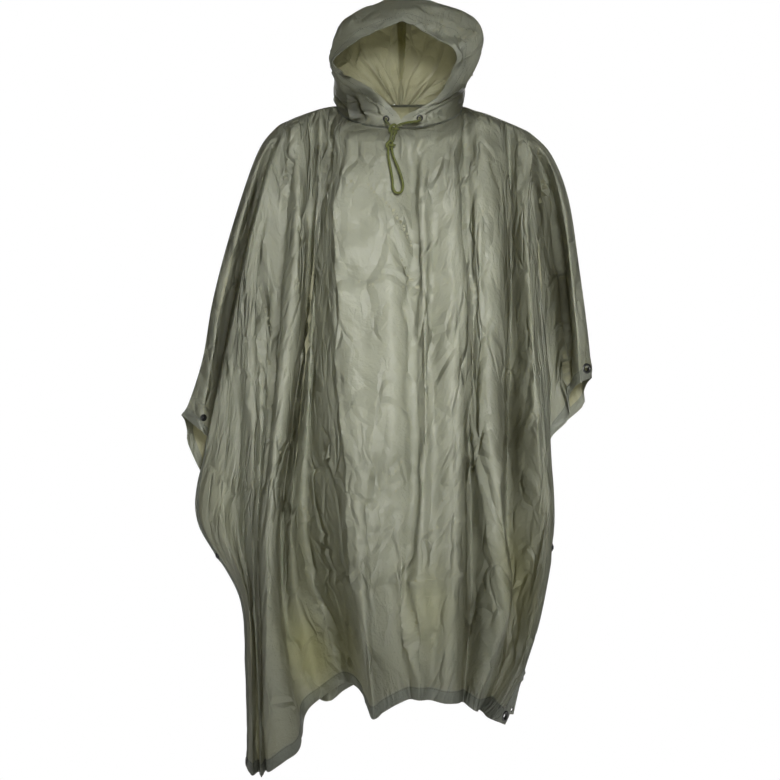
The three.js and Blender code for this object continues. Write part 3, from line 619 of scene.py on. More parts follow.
def cloth_material(name, dark, light, through, roughness, share_through, crinkle=1.0):
    """Coated nylon: a fine plain weave, crushed-in crinkles, uneven tone with painted shade and painted glow,
    and a little light through it.
    """
    material, tree = nodes_of(name)
    cut = add(tree, "Attribute", attribute_name="cut").outputs["Vector"]
    place = add(tree, "TexCoord").outputs["Object"]
    # Painted shade and painted glow from the tone attribute, over the cloth's uneven random tone
    colour = with_painted_shade(tree, ramp(tree, noise(tree, place, 6, 5, 0.6), [(0.35, dark), (0.65, light)]))
    uneven = noise(tree, cut, 22, 6, 0.62)
    crushed = bump(tree, crinkled(tree, cut, uneven), 0.85 * crinkle, 1.0)
    warp, weft = [add(tree, "TexWave", {"Vector": cut, "Scale": THREADS}, bands_direction=a) for a in "XY"]
    weave = calc(tree, "MULTIPLY", warp.outputs["Fac"], weft.outputs["Fac"])
    normal = bump(tree, weave, 0.12, 0.0003, crushed)
    rough = remap(tree, uneven, roughness - 0.07, roughness + 0.09)
    front_light = surface(tree, colour, rough, Normal=normal, IOR=1.46)
    back_light = add(tree, "BsdfTranslucent", {"Color": (*through, 1), "Normal": normal}).outputs[0]
    end_with(tree, add(tree, "MixShader", {0: share_through, 1: front_light, 2: back_light}).outputs[0])
    return material


# Strands of the braid each way round the cord, and how fast they wind, radians a metre
STRANDS = 4.0
WINDING = 1500.0


def cord_material():
    """Braided cord: strands wound both ways round it."""
    material, tree = nodes_of("braid")
    cut = add(tree, "Attribute", attribute_name="cut").outputs["Vector"]
    length, angle, _ = add(tree, "SeparateXYZ", {0: cut}).outputs
    turns = []
    for sign in (1, -1):
        around = calc(tree, "MULTIPLY", angle, sign * STRANDS)
        wave = calc(tree, "SINE", calc(tree, "MULTIPLY_ADD", length, WINDING, around))
        turns.append(calc(tree, "ABSOLUTE", wave))
    woven = calc(tree, "MULTIPLY", *turns)
    shade = calc(tree, "MULTIPLY", woven, noise(tree, cut, 300, 3))
    colour = ramp(tree, shade, [(0.0, (0.045, 0.052, 0.006)), (0.5, (0.150, 0.170, 0.022))])
    normal = bump(tree, woven, 0.7, 0.0006)
    end_with(tree, surface(tree, colour, 0.72, Normal=normal, **{"Sheen Weight": 0.1}))
    return material


def metal_material(name, colour, rough, metallic):
    """Metal or enamel with fine scratches and worn, lighter spots."""
    material, tree = nodes_of(name)
    worn = noise(tree, add(tree, "TexCoord").outputs["Object"], 900, 4)
    tone = ramp(tree, worn, [(0.4, colour), (0.75, tuple(min(1, c * 1.7) for c in colour))])
    roughness = remap(tree, worn, rough - 0.08, rough + 0.15)
    normal = bump(tree, worn, 0.15, 0.0002)
    end_with(tree, surface(tree, tone, roughness, Normal=normal, Metallic=metallic))
    return material


def thread_material():
    material, tree = nodes_of("thread")
    fibres = noise(tree, add(tree, "TexCoord").outputs["Object"], 1500, 2)
    tone = ramp(tree, fibres, [(0.3, (0.05, 0.052, 0.036)), (0.7, (0.11, 0.115, 0.08))])
    end_with(tree, surface(tree, tone, 0.6))
    return material


DARK_OLIVE = (0.300, 0.312, 0.250)
LIGHT_OLIVE = (0.370, 0.384, 0.312)
GLOW = (0.78, 0.76, 0.56)
OUTER = cloth_material("nylon_outside", DARK_OLIVE, LIGHT_OLIVE, GLOW, roughness=0.42, share_through=0.40)
INNER = cloth_material(
    "nylon_inside", dark=(0.320, 0.318, 0.215), light=(0.395, 0.390, 0.270), through=GLOW,
    roughness=0.50, share_through=0.42
)
HEM_CLOTH = cloth_material(
    "nylon_hem", dark=(0.225, 0.236, 0.195), light=(0.285, 0.298, 0.248), through=(0.64, 0.63, 0.46),
    roughness=0.48, share_through=0.30
)
TAPE = cloth_material(
    "seam_tape", dark=(0.240, 0.240, 0.160), light=(0.300, 0.300, 0.205), through=(0.90, 0.88, 0.66),
    roughness=0.55, share_through=0.60, crinkle=0.3
)
BRAID = cord_material()
METAL = metal_material("dark_metal", (0.09, 0.09, 0.085), rough=0.34, metallic=0.95)
ENAMEL = metal_material("black_enamel", (0.012, 0.012, 0.012), rough=0.30, metallic=0.4)
THREAD = thread_material()


# Painted shade and painted glow: soft areas, in pixels of the photograph, where the cloth's colour is
# darkened to stand for
# shade in deep folds and pits and on the hood's cheeks, or made paler and warmer to stand for light shining
# through it:
# middle x and y, half width, half height, lean in degrees, how dark (pale below zero) and how warm
PAINTED_SHADE_AND_GLOW = [
    (561, 296, 9, 80, -5, 0.95, 0.2), (530, 250, 20, 95, -4, 0.25, 0.1), (497, 215, 8, 70, -6, 0.35, 0.1),
    (514, 300, 7, 70, -2, 0.35, 0.1), (515, 440, 13, 60, -3, 0.80, 0.3), (493, 400, 8, 50, -4, 0.30, 0),
    (518, 575, 16, 50, -8, 0.20, 0.8), (472, 500, 6, 70, -3, 0.35, 0.1), (472, 635, 12, 50, 0, 0.60, 0),
    (354, 104, 18, 25, -25, 0.95, 0), (462, 98, 22, 25, 35, 0.80, 0), (466, 60, 12, 18, 0, 0.30, 0),
    (350, 60, 9, 18, 0, 0.30, 0.3), (322, 200, 8, 70, 5, 0.20, 0), (324, 330, 9, 90, -2, -0.10, 0),
    (309, 300, 4, 60, 2, 0.45, 0.4), (297, 420, 8, 55, 8, 0.50, 0.3), (277, 340, 3.5, 110, 4, 0.55, 0.1),
    (231, 320, 4.5, 90, 11, 0.90, 0), (258, 200, 9, 80, 10, -0.20, 0), (218, 500, 12, 60, -10, -0.35, 0.2),
    (310, 655, 22, 42, -20, -0.35, 1.2), (345, 640, 9, 50, -12, 0.30, 0.4), (250, 640, 24, 90, 0, 0.20, 0),
    (428, 610, 24, 40, 0, -0.10, 0.5), (300, 560, 14, 60, 0, 0.15, 0.3),
    (380, 660, 14, 45, 0, 0.20, 0), (408, 640, 5, 50, -6, -0.30, 0), (500, 650, 10, 30, -30, 0.15, 0),
]


def painted_shade_at(points):
    """Painted shade and painted glow at points in mm: how dark and how warm the cloth is made there, from the
    soft areas seen in the photograph.
    """
    px, py = photo_place(points)
    total = np.zeros((len(points), 3))
    for x, y, wide, high, lean, dark, warm in PAINTED_SHADE_AND_GLOW:
        c, s = math.cos(math.radians(lean)), math.sin(math.radians(lean))
        across = (px - x) * c + (py - y) * s
        down = (py - y) * c - (px - x) * s
        share = np.exp(-((across / wide) ** 2) - (down / high) ** 2)
        total += np.outer(share, (dark, warm, 0))
    return np.clip(total, -1, 1)


def shell(name, sheet, thickness, materials, keep=None, shift=0.0, zone=None):
    """A closed thin shell between the sheet, moved in by shift, and its copy further in by the thickness."""
    outer = sheet.points - sheet.normals * shift
    inner = outer - sheet.normals * thickness
    rows, cols = outer.shape[:2]
    index = np.arange(rows * cols).reshape(rows, cols)
    a, b = index[:-1, :-1].ravel(), index[:-1, 1:].ravel()
    c, d = index[1:, :-1].ravel(), index[1:, 1:].ravel()
    quads = np.stack([a, c, d, b], axis=1) if sheet.turn > 0 else np.stack([a, b, d, c], axis=1)
    marked = np.zeros(len(quads), bool) if zone is None else zone.ravel()
    if keep is not None:
        quads = quads[keep.ravel()]
        marked = marked[keep.ravel()]
    edges = {}
    for q in quads.tolist():
        for i in range(4):
            key = (q[i], q[(i + 1) % 4])
            if (key[1], key[0]) in edges:
                del edges[(key[1], key[0])]
            else:
                edges[key] = True
    total = rows * cols
    rim = [(p, total + p, total + q, q)[::-1] for p, q in edges]
    used = np.unique(quads)
    renumber = np.full(total * 2, -1)
    renumber[used] = np.arange(len(used))
    renumber[used + total] = np.arange(len(used)) + len(used)
    faces = np.concatenate([quads, quads[:, ::-1] + total, np.array(rim)])
    faces = renumber[faces]
    points = np.concatenate([outer.reshape(-1, 3)[used], inner.reshape(-1, 3)[used]])
    kind = list(np.where(marked, 2, 0)) + list(np.where(marked, 2, 1)) + [0] * len(rim)
    ob = mesh_object(name, points, faces, kind, materials, sharp=60)
    flat = sheet.cut.reshape(-1, 2)[used] * MM
    flat = np.concatenate([flat, flat])
    flat = np.concatenate([flat, np.zeros((len(flat), 1))], axis=1)
    give(ob, "cut", flat)
    # Painted shade and painted glow, carried to the cloth materials as the tone attribute
    give(ob, "tone", painted_shade_at(points))
    return ob


def part_of(sheet, rows, columns):
    """The piece of a sheet between two rows and two columns."""
    piece = Sheet.__new__(Sheet)
    piece.turn = sheet.turn
    cut = (slice(rows[0], rows[1] + 1), slice(columns[0], columns[1] + 1))
    piece.points = sheet.points[cut]
    piece.normals = sheet.normals[cut]
    piece.flat = sheet.flat[cut]
    piece.cut = sheet.cut[cut]
    return piece


# Folds pressed into the cloth, a row each: depth and width in mm, then x and y of each point, here in pixels
# of the photograph. A ridge has a depth above zero and a trough one below.
FRONT_CREASES = [
    (-6, 7, 292, 134, 294, 150, 289, 171, 286, 192, 284, 222, 281, 259, 277, 306, 274, 349, 271, 398, 267,
     440, 263, 499),
    (4, 8, 287, 138, 288, 160, 283, 192, 279, 240),
    (-9, 9, 334, 131, 329, 150, 321, 169, 314, 195, 309, 213, 300, 228),
    (5, 8, 343, 142, 332, 156, 325, 171, 321, 190, 318, 212, 317, 232),
    (-4, 6, 292, 220, 302, 236, 307, 255, 309, 268, 306, 299, 310, 327, 306, 347, 294, 368),
    (-3, 7, 314, 250, 312, 275, 311, 310, 309, 341),
    (4, 7, 300, 232, 306, 222, 312, 205),
    (4, 5, 326, 176, 331, 186, 328, 197, 334, 205),
    (-4, 5, 335, 172, 331, 184, 322, 196, 322, 204),
    (5, 6, 335, 190, 336, 215, 338, 245, 339, 272, 341, 303, 340, 328, 339, 368, 341, 398, 346, 446, 349,
     488, 351, 555, 358, 606),
    (-5, 5, 357, 176, 351, 186, 345, 195),
    (3.5, 5, 361, 180, 354, 190, 348, 198),
    (-3.5, 5, 350, 174, 347, 180, 343, 186),
    (-5, 5, 356, 132, 355, 150, 353, 173),
    (-4, 6, 363, 180, 373, 190, 379, 202),
    (-5, 6, 377, 187, 390, 207, 403, 225, 413, 249, 424, 299),
    (3, 6, 383, 186, 396, 205, 409, 226, 418, 250),
    (-3, 5, 361, 215, 358, 232, 364, 251),
    (-4, 5, 353, 247, 349, 264, 349, 285, 344, 312),
    (-6, 5, 387, 271, 369, 280, 353, 287),
    (4, 5, 386, 276, 370, 285, 355, 292),
    (-3.5, 5, 359, 293, 350, 306, 344, 318),
    (-2.5, 6, 348, 318, 365, 316, 392, 318),
    (-2.5, 5, 390, 322, 397, 325, 403, 331),
    (-2, 5, 351, 346, 370, 345, 388, 346),
    (-2.5, 5, 352, 404, 372, 400, 396, 399),
    (-7, 9, 402, 150, 411, 165, 411, 196, 412, 223, 414, 249, 408, 300, 409, 330, 411, 352, 408, 400, 413,
     425, 412, 455, 413, 484, 410, 517, 409, 540, 406, 568),
    (4, 8, 421, 170, 422, 200, 424, 240, 421, 300, 420, 360, 421, 440, 423, 500),
    (-4, 5, 430, 138, 424, 148, 413, 165),
    (4, 5, 425, 136, 417, 150, 411, 158),
    (-5, 5, 395, 265, 401, 259, 409, 272, 417, 288, 424, 300),
    (-4, 5, 396, 268, 402, 280, 405, 298, 409, 326, 411, 342),
    (4, 5, 400, 266, 406, 280, 409, 300),
    (-5, 5, 437, 219, 433, 246, 431, 272, 431, 311, 432, 338, 429, 368, 430, 400, 429, 418),
    (-4, 5, 434, 272, 443, 278, 454, 290),
    (-5, 6, 453, 246, 457, 269, 459, 292, 460, 318, 462, 342, 461, 400),
    (-6, 7, 445, 138, 457, 154, 462, 180, 463, 207, 464, 234, 468, 265, 475, 300, 472, 325),
    (5, 7, 470, 150, 478, 177, 485, 207, 489, 240, 492, 270),
    (-8, 9, 462, 131, 468, 150, 477, 178, 482, 207, 486, 240, 483, 268, 478, 290),
    (-3, 5, 456, 213, 448, 211, 439, 214, 430, 213),
    (-3, 5, 433, 190, 442, 189, 450, 184),
    (-6, 7, 489, 148, 493, 163, 499, 180, 503, 200, 500, 232),
    (5, 7, 491, 134, 500, 152, 507, 177, 508, 205, 506, 235),
    (-5, 6, 516, 150, 518, 163, 522, 196),
    (6, 6, 545, 178, 552, 186, 546, 196, 549, 207),
    (-6, 6, 539, 185, 545, 190, 540, 202, 545, 212),
    (-4, 5, 519, 272, 526, 272, 532, 276),
    (-13, 11, 552, 205, 557, 240, 561, 280, 564, 320, 567, 362, 566, 385),
    (-5, 8, 462, 342, 466, 380, 465, 420, 465, 455, 467, 500, 470, 525),
    (5, 8, 471, 330, 470, 390, 478, 457, 488, 511, 495, 560, 503, 600, 513, 630),
    (4, 6, 502, 300, 503, 390, 501, 457, 498, 482, 501, 522, 507, 571),
    (-3, 5, 237, 338, 254, 340, 271, 338),
    (2.5, 5, 236, 334, 254, 335, 270, 333),
    (-4, 7, 227, 362, 246, 377, 263, 388, 270, 405),
    (3.5, 7, 232, 358, 250, 372, 264, 380),
    (-4, 6, 266, 287, 264, 297, 254, 307),
    (4, 6, 248, 282, 244, 300, 240, 322, 232, 340),
    (4, 7, 245, 396, 254, 412, 263, 432),
    (-3, 8, 222, 434, 234, 425, 245, 416),
    (5, 6, 216, 471, 223, 480, 229, 488, 238, 502, 239, 520),
    (-4, 7, 242, 492, 251, 486, 262, 480),
    (-3.5, 5, 254, 475, 259, 471, 264, 468),
    (5, 5, 281, 424, 285, 437, 287, 452),
    (-5, 5, 277, 432, 279, 446, 283, 458),
    (3, 7, 299, 488, 292, 499, 285, 509, 288, 526, 292, 543, 297, 568),
    (-5, 7, 299, 494, 305, 512, 312, 530),
    (-4, 5, 302, 473, 315, 471, 329, 468),
    (4, 5, 320, 421, 324, 425, 328, 430),
    (-4, 5, 322, 426, 326, 436, 331, 446),
    (5, 5, 326, 440, 330, 457, 334, 470, 337, 480, 340, 489),
    (-5, 5, 322, 445, 326, 462, 331, 476, 334, 492),
    (-5, 5, 313, 531, 323, 535, 334, 539),
    (4, 5, 313, 537, 324, 544, 336, 551),
    (-5, 5, 312, 541, 325, 549, 339, 555),
    (-5, 6, 299, 571, 325, 572, 354, 574),
    (5, 6, 305, 583, 330, 582, 355, 583),
    (9, 8, 300, 584, 307, 594, 318, 614, 328, 632, 337, 651, 345, 670),
    (-7, 8, 312, 588, 325, 610, 336, 630, 345, 650, 352, 668),
    (4, 7, 344, 612, 351, 632, 358, 651, 363, 679),
    (-6, 6, 381, 449, 377, 465, 375, 480, 371, 502, 362, 524),
    (6, 7, 374, 452, 370, 470, 368, 488, 364, 510),
    (-6, 6, 409, 456, 401, 459, 394, 466, 386, 474, 379, 482),
    (5, 6, 404, 464, 396, 470, 389, 478),
    (-6, 6, 402, 476, 393, 482, 383, 490, 378, 500),
    (4, 6, 404, 484, 396, 490, 387, 499),
    (-5, 7, 398, 505, 391, 516, 388, 530),
    (-5, 6, 400, 524, 386, 530, 372, 535, 358, 545),
    (4, 8, 353, 557, 368, 555, 389, 550),
    (-3, 9, 357, 564, 372, 562, 392, 557),
    (4, 6, 360, 551, 377, 543, 399, 537),
    (-3, 8, 437, 444, 452, 446, 464, 449),
    (5, 7, 412, 537, 427, 532, 441, 526, 455, 521, 466, 517),
    (-4, 7, 412, 544, 428, 538, 443, 532, 456, 528),
    (-4, 6, 429, 545, 447, 547, 464, 545),
    (-4, 5, 463, 546, 464, 560, 464, 574),
    (11, 8, 402, 550, 402, 586, 406, 617, 414, 651, 420, 680),
    (-11, 8, 409, 600, 412, 620, 417, 645, 422, 677),
    (9, 8, 402, 583, 430, 578, 463, 573),
    (-7, 9, 366, 592, 384, 588, 401, 584),
    (-4, 9, 412, 602, 430, 596, 455, 596, 456, 612),
    (-4, 4, 421, 640, 431, 636, 441, 627),
    (-4, 4, 429, 652, 438, 646, 443, 638),
    (4, 4, 433, 657, 441, 650, 445, 641),
    (-4, 4, 437, 659, 443, 657, 446, 650),
    (5, 5, 478, 636, 491, 644, 504, 655),
    (-5, 5, 474, 647, 488, 658, 502, 672),
    (4, 5, 476, 652, 487, 664, 500, 678),
    (-4, 6, 480, 575, 483, 590, 486, 610),
    (-5, 6, 510, 628, 510, 645, 507, 665),
    (4, 6, 515, 609, 516, 630, 514, 660),
    (-5, 6, 544, 531, 535, 551, 525, 571, 514, 592),
    (4, 6, 540, 528, 531, 547, 521, 568),
    (5, 6, 540, 398, 533, 415, 525, 434, 513, 456),
    (4, 6, 518, 449, 522, 468, 532, 480, 541, 491),
    (-5, 6, 302, 659, 297, 670, 291, 682),
    (5, 6, 296, 634, 290, 648, 284, 660),
    (-5, 7, 305, 618, 296, 634, 288, 650),
    (5, 6, 258, 698, 250, 711, 242, 725),
    (6, 6, 264, 712, 264, 735, 262, 756),
    (-4, 6, 252, 740, 258, 748, 262, 757),
    (5, 7, 206, 345, 199, 368, 193, 390, 187, 408),
    (-4, 5, 203, 345, 197, 352, 202, 362, 196, 372),
    (-4, 6, 226, 262, 221, 290, 214, 320),
    (-4, 6, 234, 235, 229, 262, 222, 300, 216, 330),
    (4, 5, 576, 290, 581, 310, 584, 340, 583, 360),
    (-4, 5, 572, 265, 577, 290, 579, 320),
    (-4, 6, 340, 127, 352, 130, 372, 128, 388, 132),
    (-4, 6, 420, 132, 433, 128, 447, 130),
]

# The same for the back, with x and z of each point in mm
BACK_CREASES = [
    (-6, 8, -205, -60, -214, -180, -226, -320, -236, -480, -240, -640),
    (5, 8, -180, -40, -190, -150, -196, -280, -205, -430),
    (-7, 9, -120, -30, -132, -140, -142, -260, -128, -420, -136, -600, -134, -820),
    (5, 8, -70, -30, -82, -160, -78, -320, -90, -520, -84, -760),
    (-6, 8, -20, -20, -28, -150, -12, -300, -34, -520, -26, -780, -36, -960),
    (-7, 8, 54, -20, 66, -150, 80, -290, 72, -470, 86, -660, 92, -900),
    (5, 7, 110, -30, 122, -170, 128, -330, 120, -520, 132, -760),
    (-6, 8, 172, -50, 184, -170, 190, -330, 202, -520, 190, -760, 180, -940),
    (5, 7, 222, -90, 232, -220, 246, -380, 250, -560),
    (-4, 6, -60, -200, -30, -232, 6, -250, 30, -244),
    (3.5, 6, -58, -212, -26, -246, 8, -262),
    (-4, 6, 90, -210, 66, -262, 48, -330),
    (-3, 6, -80, -345, -20, -340, 40, -346),
    (-3, 6, -90, -500, -30, -494, 50, -500),
    (-4, 6, -160, -420, -134, -470, -96, -500, -72, -560),
    (4, 6, -150, -430, -124, -482, -90, -512),
    (-5, 6, 20, -560, 52, -600, 64, -660, 40, -712),
    (5, 6, 30, -556, 62, -596, 78, -660),
    (-4, 6, 130, -430, 150, -500, 190, -540),
    (-4, 6, -260, -520, -220, -600, -196, -700),
    (4, 6, -20, -720, 30, -756, 84, -760),
    (-5, 6, -26, -734, 30, -770, 90, -776),
    (-4, 6, -180, -880, -130, -900, -84, -950),
    (-4, 6, 120, -860, 150, -920, 160, -990),
    (4, 6, -70, -900, -44, -960, -46, -1020),
    (-4, 6, 220, -640, 236, -720, 220, -800),
]

# The hood's halves, in pixels of the photograph again
HOOD_CREASES_LEFT = [
    (-13, 6, 351, 94, 355, 102, 359, 110, 366, 123),
    (7, 5, 344, 92, 349, 103, 354, 114, 360, 123),
    (6, 4, 355, 92, 361, 101, 366, 112, 370, 121),
    (-10, 5, 362, 92, 370, 100, 376, 110, 381, 118),
    (9, 6, 341, 74, 350, 77, 358, 80, 366, 85, 372, 90),
    (-13, 6, 342, 84, 350, 88, 362, 88, 372, 95, 382, 107),
    (-10, 6, 334, 97, 341, 103, 348, 113, 352, 122),
    (5, 5, 343, 110, 353, 116, 366, 121),
    (-7, 6, 335, 66, 342, 68, 347, 63, 349, 52),
    (6, 5, 337, 60, 344, 60, 352, 66),
    (-6, 5, 358, 42, 361, 52, 358, 62, 357, 72),
    (-4, 5, 345, 50, 352, 56, 349, 66),
    (-3, 5, 398, 6, 404, 12, 411, 17),
    (3, 5, 392, 8, 398, 13, 404, 18),
    (-3, 6, 369, 49, 384, 49, 400, 50),
]
HOOD_CREASES_RIGHT = [
    (-10, 6, 438, 21, 444, 26, 451, 33, 464, 37, 478, 38),
    (7, 5, 446, 18, 455, 27, 468, 31, 481, 34),
    (-10, 5, 441, 27, 443, 40, 446, 53, 450, 62, 453, 69),
    (8, 5, 448, 36, 452, 46, 456, 56, 459, 68),
    (-7, 5, 456, 38, 463, 46, 466, 56, 463, 66),
    (8, 5, 467, 84, 457, 91, 444, 100, 433, 104, 423, 108),
    (-8, 5, 466, 92, 455, 99, 443, 107, 430, 113),
    (-8, 5, 444, 80, 449, 86, 458, 84, 464, 78),
    (6, 4, 447, 74, 454, 78, 462, 72),
    (-7, 5, 440, 118, 447, 121, 456, 117, 462, 108),
    (5, 4, 430, 117, 434, 122, 442, 125),
    (-5, 4, 426, 114, 430, 120, 436, 124),
    (-5, 4, 417, 20, 417, 34, 418, 48),
    (4, 4, 423, 20, 422, 34, 424, 48),
    (-5, 5, 436, 30, 430, 40, 424, 50),
    (-4, 5, 421, 6, 430, 12, 440, 16),
    (4, 5, 412, 7, 421, 14, 428, 18),
]

# Crushed places: pixel, radius mm, how much stronger the crumple is there
CRUSHED = [
    (388, 485, 60, 2.2), (415, 370, 40, 1.6), (330, 470, 60, 1.8), (345, 190, 40, 2.0), (440, 640, 50, 1.6),
    (490, 655, 50, 2.0), (322, 560, 60, 1.6), (230, 540, 60, 1.6), (545, 195, 35, 2.0), (300, 640, 60, 1.5),
    (440, 125, 30, 2.0), (260, 460, 60, 1.3), (390, 590, 60, 1.6), (405, 270, 40, 1.5),
]


def sheet_tree(sheet):
    rows, cols = sheet.points.shape[:2]
    index = np.arange(rows * cols).reshape(rows, cols)
    quads = np.stack([index[:-1, :-1], index[1:, :-1], index[1:, 1:], index[:-1, 1:]], axis=-1).reshape(-1, 4)
    return BVHTree.FromPolygons([tuple(p) for p in sheet.points.reshape(-1, 3)], quads.tolist())


def seen_at(sheet, tree, start, direction):
    """Flat coordinates where a line of sight meets the sheet, and 1 or -1 for its outer or inner face."""
    place, _, face, _ = tree.ray_cast(start, direction)
    if place is None:
        return None
    j, i = divmod(face, sheet.points.shape[1] - 1)
    corners = sheet.points[j : j + 2, i : i + 2].reshape(-1, 3)
    weight = 1 / (np.linalg.norm(corners - np.array(place), axis=1) + 0.3) ** 2
    flat = (sheet.flat[j : j + 2, i : i + 2].reshape(-1, 2) * weight[:, None]).sum(0) / weight.sum()
    out = np.dot(sheet.normals[j, i], np.array(direction)) < 0
    return flat, 1 if out else -1


# Step between lines of sight along a drawn line, and the jump that shows the line has crossed a fold
SIGHT_STEP = 1.5
FOLD_JUMP = 30


def line_on(sheet, tree, points, sight):
    """The part of a drawn line that falls on the sheet, in flat coordinates, without jumps across folds."""
    points = points.astype(float)
    count = max(8, int(length_of(points).sum() / SIGHT_STEP))
    line = along(points, np.linspace(0, len(points) - 1, count))
    found = []
    for p in line:
        at = seen_at(sheet, tree, *sight(*p))
        if at is None:
            continue
        if found and np.linalg.norm(at[0] - found[-1][0]) > FOLD_JUMP:
            continue
        found.append(at)
    if len(found) < 4:
        return None
    side = 1 if sum(f[1] for f in found) > 0 else -1
    return smoothed(np.array([f[0] for f in found])), side


def rising(distance, width):
    """From 0 at no distance to 1 at the width and beyond."""
    return np.clip(distance / width, 0, 1)


def eased(share):
    return share * share * (3 - 2 * share)


# How much stronger than the tables all folds are pressed, the least width that the grid can show, mm, how
# much wider or narrower a fold's two sides are, and the longest end over which it fades out, mm
PRESSED = 1.2
LEAST_WIDTH = 5.5
SOFT_SIDE = 1.9
STEEP_SIDE = 0.85
LONGEST_TAPER = 40.0


def press(sheet, heights, depth, width, line, side):
    """Adds one fold to the heights of a sheet's points. It is steep on one side and soft on the other."""
    width = max(width, LEAST_WIDTH)
    reach = width * 5
    low = line.min(0) - reach
    high = line.max(0) + reach
    near = ((sheet.flat > low) & (sheet.flat < high)).all(-1)
    rows, cols = np.nonzero(near)
    if len(rows) == 0:
        return
    p = sheet.flat[rows, cols]
    gap = p[:, None, :] - line[None, :, :]
    distance = np.linalg.norm(gap, axis=-1)
    nearest = distance.argmin(1)
    d = distance[np.arange(len(p)), nearest]
    run = run_along(line)
    s = run[nearest]
    taper = eased(rising(np.minimum(s, run[-1] - s), min(LONGEST_TAPER, run[-1] * 0.35)))
    uneven = 1 + 0.18 * np.sin(s / 21.0 + line[0, 0]) + 0.08 * np.sin(s / 8.3 + line[0, 1])
    tangent = np.gradient(line, axis=0)[nearest]
    aside = gap[np.arange(len(p)), nearest]
    soft_side = (tangent[:, 0] * aside[:, 1] - tangent[:, 1] * aside[:, 0]) * depth > 0
    width_here = width * np.where(soft_side, SOFT_SIDE, STEEP_SIDE)
    sharp = np.exp(-np.sqrt((d / width_here) ** 2 + 0.03) * 1.6 + 0.28)
    heights[rows, cols] += side * depth * PRESSED * taper * uneven * sharp


NOISE_CELLS = 64


def value_noise(flat, size_u, size_v, turn, seed):
    """Smooth random values from -1 to 1 over the flat cloth, with blobs of the given size, mm."""
    table = np.random.default_rng(seed).uniform(-1, 1, (NOISE_CELLS, NOISE_CELLS))
    c, s = math.cos(turn), math.sin(turn)
    x = (flat[..., 0] * c + flat[..., 1] * s) / size_u + 8 * NOISE_CELLS
    y = (flat[..., 1] * c - flat[..., 0] * s) / size_v + 8 * NOISE_CELLS
    i, j = np.floor(x).astype(int), np.floor(y).astype(int)
    fx, fy = eased(x - i), eased(y - j)

    def cell(across, down):
        return table[(i + across) % NOISE_CELLS, (j + down) % NOISE_CELLS]

    top = cell(0, 0) * (1 - fx) + cell(1, 0) * fx
    low = cell(0, 1) * (1 - fx) + cell(1, 1) * fx
    return top * (1 - fy) + low * fy


SCATTER_LEAN = 38

# Crumple layers: size across, size down, lean in degrees, height, all mm but the lean
CRUMPLE = [(80, 260, 5, 1.5), (64, 130, -22, 0.8), (70, 90, 34, 0.6), (30, 60, 12, 0.25)]


def crumple(sheet, seed, amount):
    total = np.zeros(sheet.flat.shape[:2])
    for k, (across, down, lean, height) in enumerate(CRUMPLE):
        n = value_noise(sheet.cut, across, down, math.radians(lean), seed + k)
        total += height * (0.55 - np.abs(n) * 1.6)
    return total * amount


def scatter(sheet, seed, count):
    """Short crisp creases at seeded random places, most of them leaning like the long folds."""
    random = np.random.default_rng(seed)
    low = sheet.flat.reshape(-1, 2).min(0)
    high = sheet.flat.reshape(-1, 2).max(0)
    lines = []
    for k in range(count):
        middle = random.uniform(low, high)
        turn = math.radians(90 + random.choice((-1, 1)) * abs(random.normal(0, SCATTER_LEAN)))
        size = random.uniform(14, 60)
        bend = random.uniform(-0.3, 0.3) * size
        steps = np.linspace(-0.5, 0.5, 14)
        direction = np.array([math.cos(turn), math.sin(turn)])
        aside = np.array([-direction[1], direction[0]])
        line = middle + np.outer(steps * size, direction) + np.outer(bend * (0.25 - steps**2), aside)
        sign = -1 if k % 3 else 1
        lines.append((sign * random.uniform(0.8, 2.4), random.uniform(3.0, 5.0), line))
    return lines


# Widths over which folds fade out towards the hood's seams, the line over the shoulders and the fittings, mm
SEAM_HOLD = 12
RIDGE_HOLD = 18
FITTING_HOLD = 14


def crease_sheet(sheet, creases, sight, seed, amount, count, crushed=(), more=1.0):
    """Presses folds, creases and crumple into a sheet. Joined edges and places under fittings stay flat."""
    tree = sheet_tree(sheet)
    heights = np.zeros(sheet.flat.shape[:2])
    strength = np.full(sheet.flat.shape[:2], 1.0)
    for px, py, radius, stronger in crushed:
        at = seen_at(sheet, tree, *sight(px, py))
        if at is not None:
            away = np.linalg.norm(sheet.flat - at[0], axis=-1)
            strength += (stronger - 1) * np.exp(-((away / radius) ** 2))
    heights += crumple(sheet, seed, amount) * strength
    for depth, width, *places in creases:
        found = line_on(sheet, tree, np.reshape(places, (-1, 2)), sight)
        if found is not None:
            press(sheet, heights, depth, width, *found)
    for depth, width, line in scatter(sheet, seed + 500, count):
        press(sheet, heights, depth, width, line, 1)
    if sheet in (hood_left, hood_right):
        u = sheet.flat[..., 0]
        heights *= rising(u - u[:, :1], SEAM_HOLD) * rising(u[:, -1:] - u, SEAM_HOLD)
    else:
        heights *= rising(sheet.flat[..., 1], RIDGE_HOLD)
    for fitting in fittings.values():
        if fitting.sheet is sheet:
            heights *= rising(fitting.away - fitting.radius - 3, FITTING_HOLD)
    heights *= more
    sheet.points = sheet.points + sheet.normals * heights[..., None]
    sheet.measure()


def from_behind(x, z):
    """Start and direction, mm, of a level line of sight on to the back."""
    return Vector((x, -CAMERA["y"], z)), Vector((0, -1, 0))


